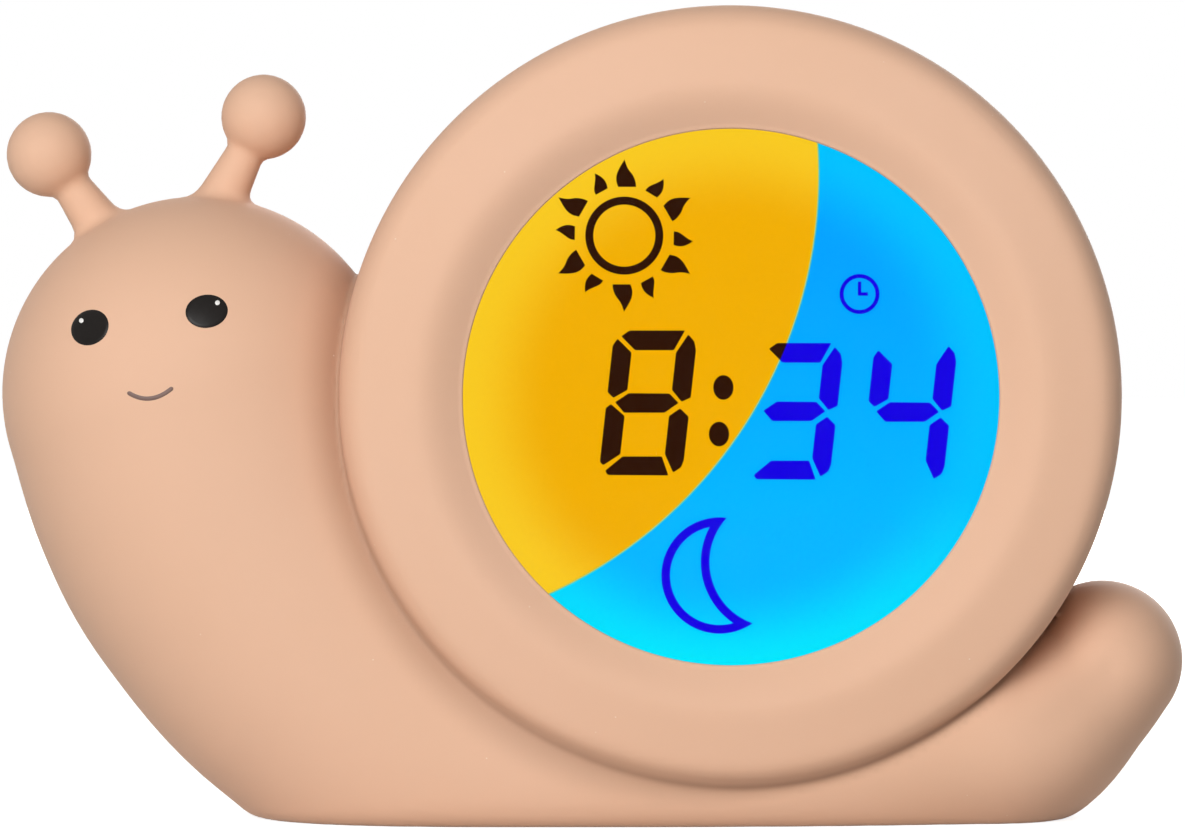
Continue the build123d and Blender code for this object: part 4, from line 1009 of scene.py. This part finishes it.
class SNAIL_OT_face(bpy.types.Operator):
    """Eyes and smile, printed on the head"""
    bl_idname = "snail.face"
    bl_label = "Printed Face"

    # Each eye: middle (x, z), length along its lean, height across it, lean in degrees.
    eyes = {"eye_left": ((-69.4, 69.18), 5.55, 4.8, 25.0), "eye_right": ((-53.1, 71.41), 5.8, 4.6, 5.0)}
    glints = {"glint_left": (-70.6, 70.1), "glint_right": (-51.65, 72.55)}
    glint_size = 0.85
    smile_ends = ((-63.93, 60.3), (-57.6, 60.95))
    smile_sag, smile_width = 1.2, 0.6

    def execute(self, context):
        settings = context.scene.snail_skin
        glossy = glossy_ink(settings.eye)
        for name, (middle, length, height, lean) in self.eyes.items():
            rings = [self.tilted_oval(middle, length * share, height * share, lean)
                     for share in (1.0, 0.96, 0.8, 0.6, 0.4, 0.2)]
            fit(printed_patch(name, rings, glossy, 0.1, 0.05))
        white = plain_moulding("white_ink", "#F2F0EC", "#E8E6E2", 0.35)
        for name, middle in self.glints.items():
            rings = [oval(middle, size, size, 48) for size in (self.glint_size, 0.6 * self.glint_size)]
            fit(printed_patch(name, rings, white, 0.3))
        fit(self.smile(plain_moulding("brown_ink", settings.smile, "#7A5D54", 0.55)))
        return {"FINISHED"}

    def tilted_oval(self, middle, length, height, lean):
        """Points of an oval that leans to the left by so many degrees."""
        turn = Matrix.Rotation(math.radians(lean), 2)
        return [tuple(Vector(middle) + turn @ Vector(point)) for point in oval((0, 0), length, height, 48)]

    def smile(self, material):
        """A stroke of ink along a shallow curve, with round ends and a full middle."""
        start, end = (Vector(place) for place in self.smile_ends)
        length, half = (end - start).length, self.smile_width / 2
        rows = []
        for t in (0.0, 0.012, 0.035, *np.linspace(0.07, 0.93, 25), 0.965, 0.988, 1.0):
            middle = start + (end - start) * t - Vector((0, self.smile_sag * 4 * t * (1 - t)))
            along = (end - start + Vector((0, -self.smile_sag * 4 * (1 - 2 * t)))).normalized()
            from_end = min(1.0, min(t, 1 - t) * length / half)
            aside = Vector((-along.y, along.x)) * half * math.sqrt(1 - (1 - from_end) ** 2)
            rows.append([middle + aside * share for share in (1, 0.5, 0, -0.5, -1)])
        places = [tuple(place) for row in rows for place in row]
        lifts = np.tile([0.0, 0.06, 0.08, 0.06, 0.0], len(rows))
        count, wide = len(places), len(rows[0])
        vertices = list(onto_skin(places, lifts[:, None])) + list(onto_skin(places, -0.08))
        faces = []
        for i in range(0, count - wide):
            if (i + 1) % wide:
                faces.append((i, i + 1, i + wide + 1, i + wide))
                faces.append((count + i, count + i + wide, count + i + wide + 1, count + i + 1))
            if i % wide in (0, wide - 1):
                faces.append((i, i + wide, count + i + wide, count + i))
        for first in (0, count - wide):
            faces += [(i, i + 1, count + i + 1, count + i) for i in range(first, first + wide - 1)]
        return new_object("smile", vertices, faces, material)


class SNAIL_OT_display(bpy.types.Operator):
    """The display: clear window, liquid crystal cell, and the lit day and night fields"""
    bl_idname = "snail.display"
    bl_label = "Display"

    def execute(self, context):
        settings = context.scene.snail_display
        day = lit_opal("day_opal", "#33240A", (settings.day, settings.day),
                       (settings.day_edge, settings.day_edge), settings.glow, "#C9CE4E")
        night = lit_opal("night_opal", "#06283A", (settings.night, settings.night_middle_low),
                         (settings.night_edge, settings.night_low), settings.glow, "#4FC8B8")
        repaint(frame["nodes"]["display_lens"], polished_clear("clear_acrylic", 1.49, 0.02))
        repaint(frame["nodes"]["day_diffuser"], day)
        repaint(frame["nodes"]["night_diffuser"], night)
        self.cell()
        return {"FINISHED"}

    def cell(self):
        """Both glasses and polarisers of the cell as one clear plate with ground edges."""
        steps, ground = 160, 0.12
        back = node_box("rear_polariser")[1][1]
        glass_low, glass_high = node_box("lcd_rear_glass")
        radius = (glass_high[0] - glass_low[0]) / 2
        section = [(radius - ground, CELL_FACE), (radius, CELL_FACE + ground), (radius, back - ground),
                   (radius - ground, back)]
        vertices, faces = turned(section, steps)
        faces += [tuple(range(steps)), tuple(reversed(range(3 * steps, 4 * steps)))]
        plate = new_object("lcd_cell", vertices, faces, polished_clear("cell_glass", 1.52, 0.0),
                           sharp_angle=30)
        fit(plate)
        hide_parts("front_polariser", "lcd_front_glass", "rear_polariser", "lcd_rear_glass")


class SNAIL_OT_symbols(bpy.types.Operator):
    """Time, sun, moon and clock pictogram that the liquid crystal shows"""
    bl_idname = "snail.symbols"
    bl_label = "Display Symbols"

    # Both kinds of ray, as places along and across their direction from the sun's middle.
    large_flame = ([(6.72, -1.62), (7.4, -1.55), (8.3, -1.2), (9.1, -0.6), (9.75, -0.28), (10.5, -0.04)],
                   [(10.5, -0.04), (9.4, 0.62), (8.5, 1.02), (7.6, 1.1), (6.72, 0.85)])
    small_flame = ([(6.85, -0.96), (7.5, -1.1), (8.2, -1.05), (8.9, -0.75), (9.5, -0.32)],
                   [(9.5, -0.32), (8.9, -0.08), (8.3, 0.3), (7.5, 0.8), (6.8, 0.92)])

    # The sun's middle, the outer and inner width of its ring, and how many rays of each kind it has.
    sun_centre, sun_ring, ray_count = (-14.67, 22.25), (10.76, 8.56), 6
    # Each digit: its lit segments, left, base, width and height.
    digits = (("abcdefg", -18.25, -10.83, 11.57, 20.0), ("abcdg", 2.25, -11.41, 11.4, 18.85),
              ("fgbc", 17.8, -11.73, 11.5, 19.3))
    # The middles of the colon's dots, and the width and height of both.
    dots, dot_size = ((-1.0, 1.31), (-1.6, -5.12)), (2.8, 3.4)
    # The small clock's middle, radius and stroke.
    small_clock = ((17.78, 14.2), 2.76, 0.56)
    film_gap = 0.02

    def execute(self, context):
        ink = display_ink(context.scene.snail_display)
        thickness = context.scene.snail_display.film / MM
        face = CELL_FACE - thickness - self.film_gap
        digits = [segment for digit in self.digits for segment in digit_outlines(*digit)]
        outlines = {
            "time_digits": digits + [[oval(middle, *self.dot_size)] for middle in self.dots],
            "moon_symbol": moon_outlines(),
            "clock_symbol": clock_outlines(*self.small_clock),
            "sun_ring": [[oval(self.sun_centre, width, width, 72) for width in self.sun_ring]],
        }
        for name, shapes in outlines.items():
            fit(new_object(name, *film(shapes, face, thickness), ink, smooth=False))
        for name, angle, sides in (("sun_large_rays", 90, self.large_flame),
                                   ("sun_small_rays", 57.3, self.small_flame)):
            rays = ray_ring(name, self.ray_count, angle, flame(sides), self.sun_centre, face, ink)
            fit(rays)
        return {"FINISHED"}


class SNAIL_OT_signs(bpy.types.Operator):
    """Small printed signs on the buttons and beside the alarm switch"""
    bl_idname = "snail.signs"
    bl_label = "Printed Signs"

    film_thickness = 0.04
    stroke_reach, stroke_width = 1.25, 0.48
    switch_sign_rise, switch_sign_spread = 4.6, 2.4

    def execute(self, context):
        ink = plain_moulding("grey_pad_print", context.scene.snail_case.sign, "#7C7A76", 0.5)
        far, near = self.stroke_reach, self.stroke_width / 2
        bar = [(-far, -near), (far, -near), (far, near), (-far, near)]
        cross = [(-far, -near), (-near, -near), (-near, -far), (near, -far), (near, -near), (far, -near),
                 (far, near), (near, near), (near, far), (-near, far), (-near, near), (-far, near)]
        signs = {"time": clock_outlines((0, 0), 1.45, 0.3), "alarm": self.bell(1.0), "light": self.bulb(),
                 "minus": [[bar]], "plus": [[cross]]}
        for key, outlines in signs.items():
            low, high = node_box(key + "_button")
            self.sign(key + "_sign", outlines, (low + high) / 2, high[1], ink, key + "_key")
        low, high = node_box("alarm_switch_body")
        middle = (low + high) / 2
        middle[2] += self.switch_sign_rise
        slash = [(-1.45, -1.2), (-1.2, -1.45), (1.45, 1.2), (1.2, 1.45)]
        spread = np.array([self.switch_sign_spread, 0, 0])
        self.sign("alarm_on_sign", self.bell(0.8), middle + spread, PANEL_FACE, ink, BODY)
        self.sign("alarm_off_sign", self.bell(0.8), middle - spread, PANEL_FACE, ink, BODY)
        self.sign("alarm_off_slash", [[slash]], middle - spread, PANEL_FACE + 0.01, ink, BODY)
        return {"FINISHED"}

    def sign(self, name, outlines, middle, face, ink, body):
        """One sign on a face that looks backwards."""
        sunk = self.film_thickness / 4
        shape = film(outlines, face - sunk, self.film_thickness, (middle[0], middle[2]), -1)
        fit(new_object(name, *shape, ink, smooth=False), body)

    def bell(self, scale):
        """Bell pictogram: dome with a flared rim, knob and clapper."""
        dome = [(-1.3, -0.75), (-0.98, -0.4), (-0.85, 0.3)] + arc_points((0, 0.3), 0.85, 172, 8, 12)
        dome += [(0.85, 0.3), (0.98, -0.4), (1.3, -0.75)]
        shapes = [dome, oval((0, 1.36), 0.42, 0.42, 16), oval((0, -1.1), 0.62, 0.42, 16)]
        return [[[(u * scale, w * scale) for u, w in shape]] for shape in shapes]

    def bulb(self):
        """Lamp pictogram: a round bulb over two lines of its cap."""
        ring = [oval((0, 0.42), 1.95, 1.95, 36), oval((0, 0.42), 1.4, 1.4, 36)]
        caps = [[[(-0.45, w), (0.45, w), (0.45, w + 0.26), (-0.45, w + 0.26)]] for w in (-0.98, -1.42)]
        return [ring, *caps]


class SNAIL_OT_case(bpy.types.Operator):
    """The case, its buttons and switch, the battery door and every piece inside"""
    bl_idname = "snail.case"
    bl_label = "Case and Insides"

    def execute(self, context):
        settings = context.scene.snail_case
        finishes = {
            "case_abs": moulded_abs("textured_abs", settings.case, "#E9E5DB", 0.5),
            "button_abs": moulded_abs("satin_abs", settings.button, "#EFECE5", 0.36),
            "black_foam": plain_moulding("closed_cell_foam", "#1C1C1D", "#101011", 0.9, 0.0004),
            "circuit_board": plain_moulding("solder_mask", "#1D6B41", "#14532F", 0.3, 0.0009),
            "led_package": plain_moulding("lamp_package", "#F4EDC8", "#E8DDA6", 0.3),
            "black_epoxy": plain_moulding("moulded_epoxy", "#1A1A1C", "#101012", 0.55, 0.0002),
            "black_switch": plain_moulding("glass_filled_nylon", "#1D1D1F", "#131314", 0.5, 0.0003),
            "flex_film": plain_moulding("polyimide_film", "#B9741F", "#A06218", 0.25),
            "cone_film": plain_moulding("polyester_cone", "#242427", "#18181A", 0.3, 0.0008),
            "cell_jacket": sleeved_cell(),
            "tinned_can": satin_metal("tinned_steel", "#C4C3BF", 0.35),
            "zinc_screw": satin_metal("zinc_plate", "#BDBDB9", 0.3),
            "nickel_contact": satin_metal("nickel_plate", "#CFCBC2", 0.24),
        }
        slots = {part["node"]: part["material_slot"] for part in frame["record"]["subparts"]}
        for name, node in frame["nodes"].items():
            if slots[name] in finishes:
                repaint(node, finishes[slots[name]])
        return {"FINISHED"}


class SNAIL_PT_panel(bpy.types.Panel):
    """Lists the clock's operators"""
    bl_idname = "SNAIL_PT_panel"
    bl_label = "Snail Clock"
    bl_space_type = "VIEW_3D"
    bl_region_type = "UI"
    bl_category = "Snail Clock"

    def draw(self, context):
        for settings in (context.scene.snail_stage, context.scene.snail_skin,
                         context.scene.snail_display, context.scene.snail_case):
            box = self.layout.box()
            for field in settings.__annotations__:
                box.prop(settings, field)
        for operator in operators:
            self.layout.operator(operator.bl_idname)


operators = (SNAIL_OT_stage, SNAIL_OT_silicone_skin, SNAIL_OT_face, SNAIL_OT_display, SNAIL_OT_symbols,
             SNAIL_OT_case, SNAIL_OT_signs)
groups = {"snail_skin": SnailSkinSettings, "snail_display": DisplaySettings,
          "snail_case": CaseSettings, "snail_stage": StageSettings}


def register():
    for group in groups.values():
        bpy.utils.register_class(group)
    for attribute, group in groups.items():
        setattr(bpy.types.Scene, attribute, PointerProperty(type=group))
    for operator in (*operators, SNAIL_PT_panel):
        bpy.utils.register_class(operator)


def unregister():
    for operator in (SNAIL_PT_panel, *operators[::-1]):
        bpy.utils.unregister_class(operator)
    for attribute, group in groups.items():
        delattr(bpy.types.Scene, attribute)
        bpy.utils.unregister_class(group)


def main():
    register()
    bpy.ops.snail.stage()
    bpy.ops.snail.silicone_skin()
    bpy.ops.snail.face()
    bpy.ops.snail.display()
    bpy.ops.snail.symbols()
    bpy.ops.snail.case()
    bpy.ops.snail.signs()


if __name__ == "__main__":
    main()
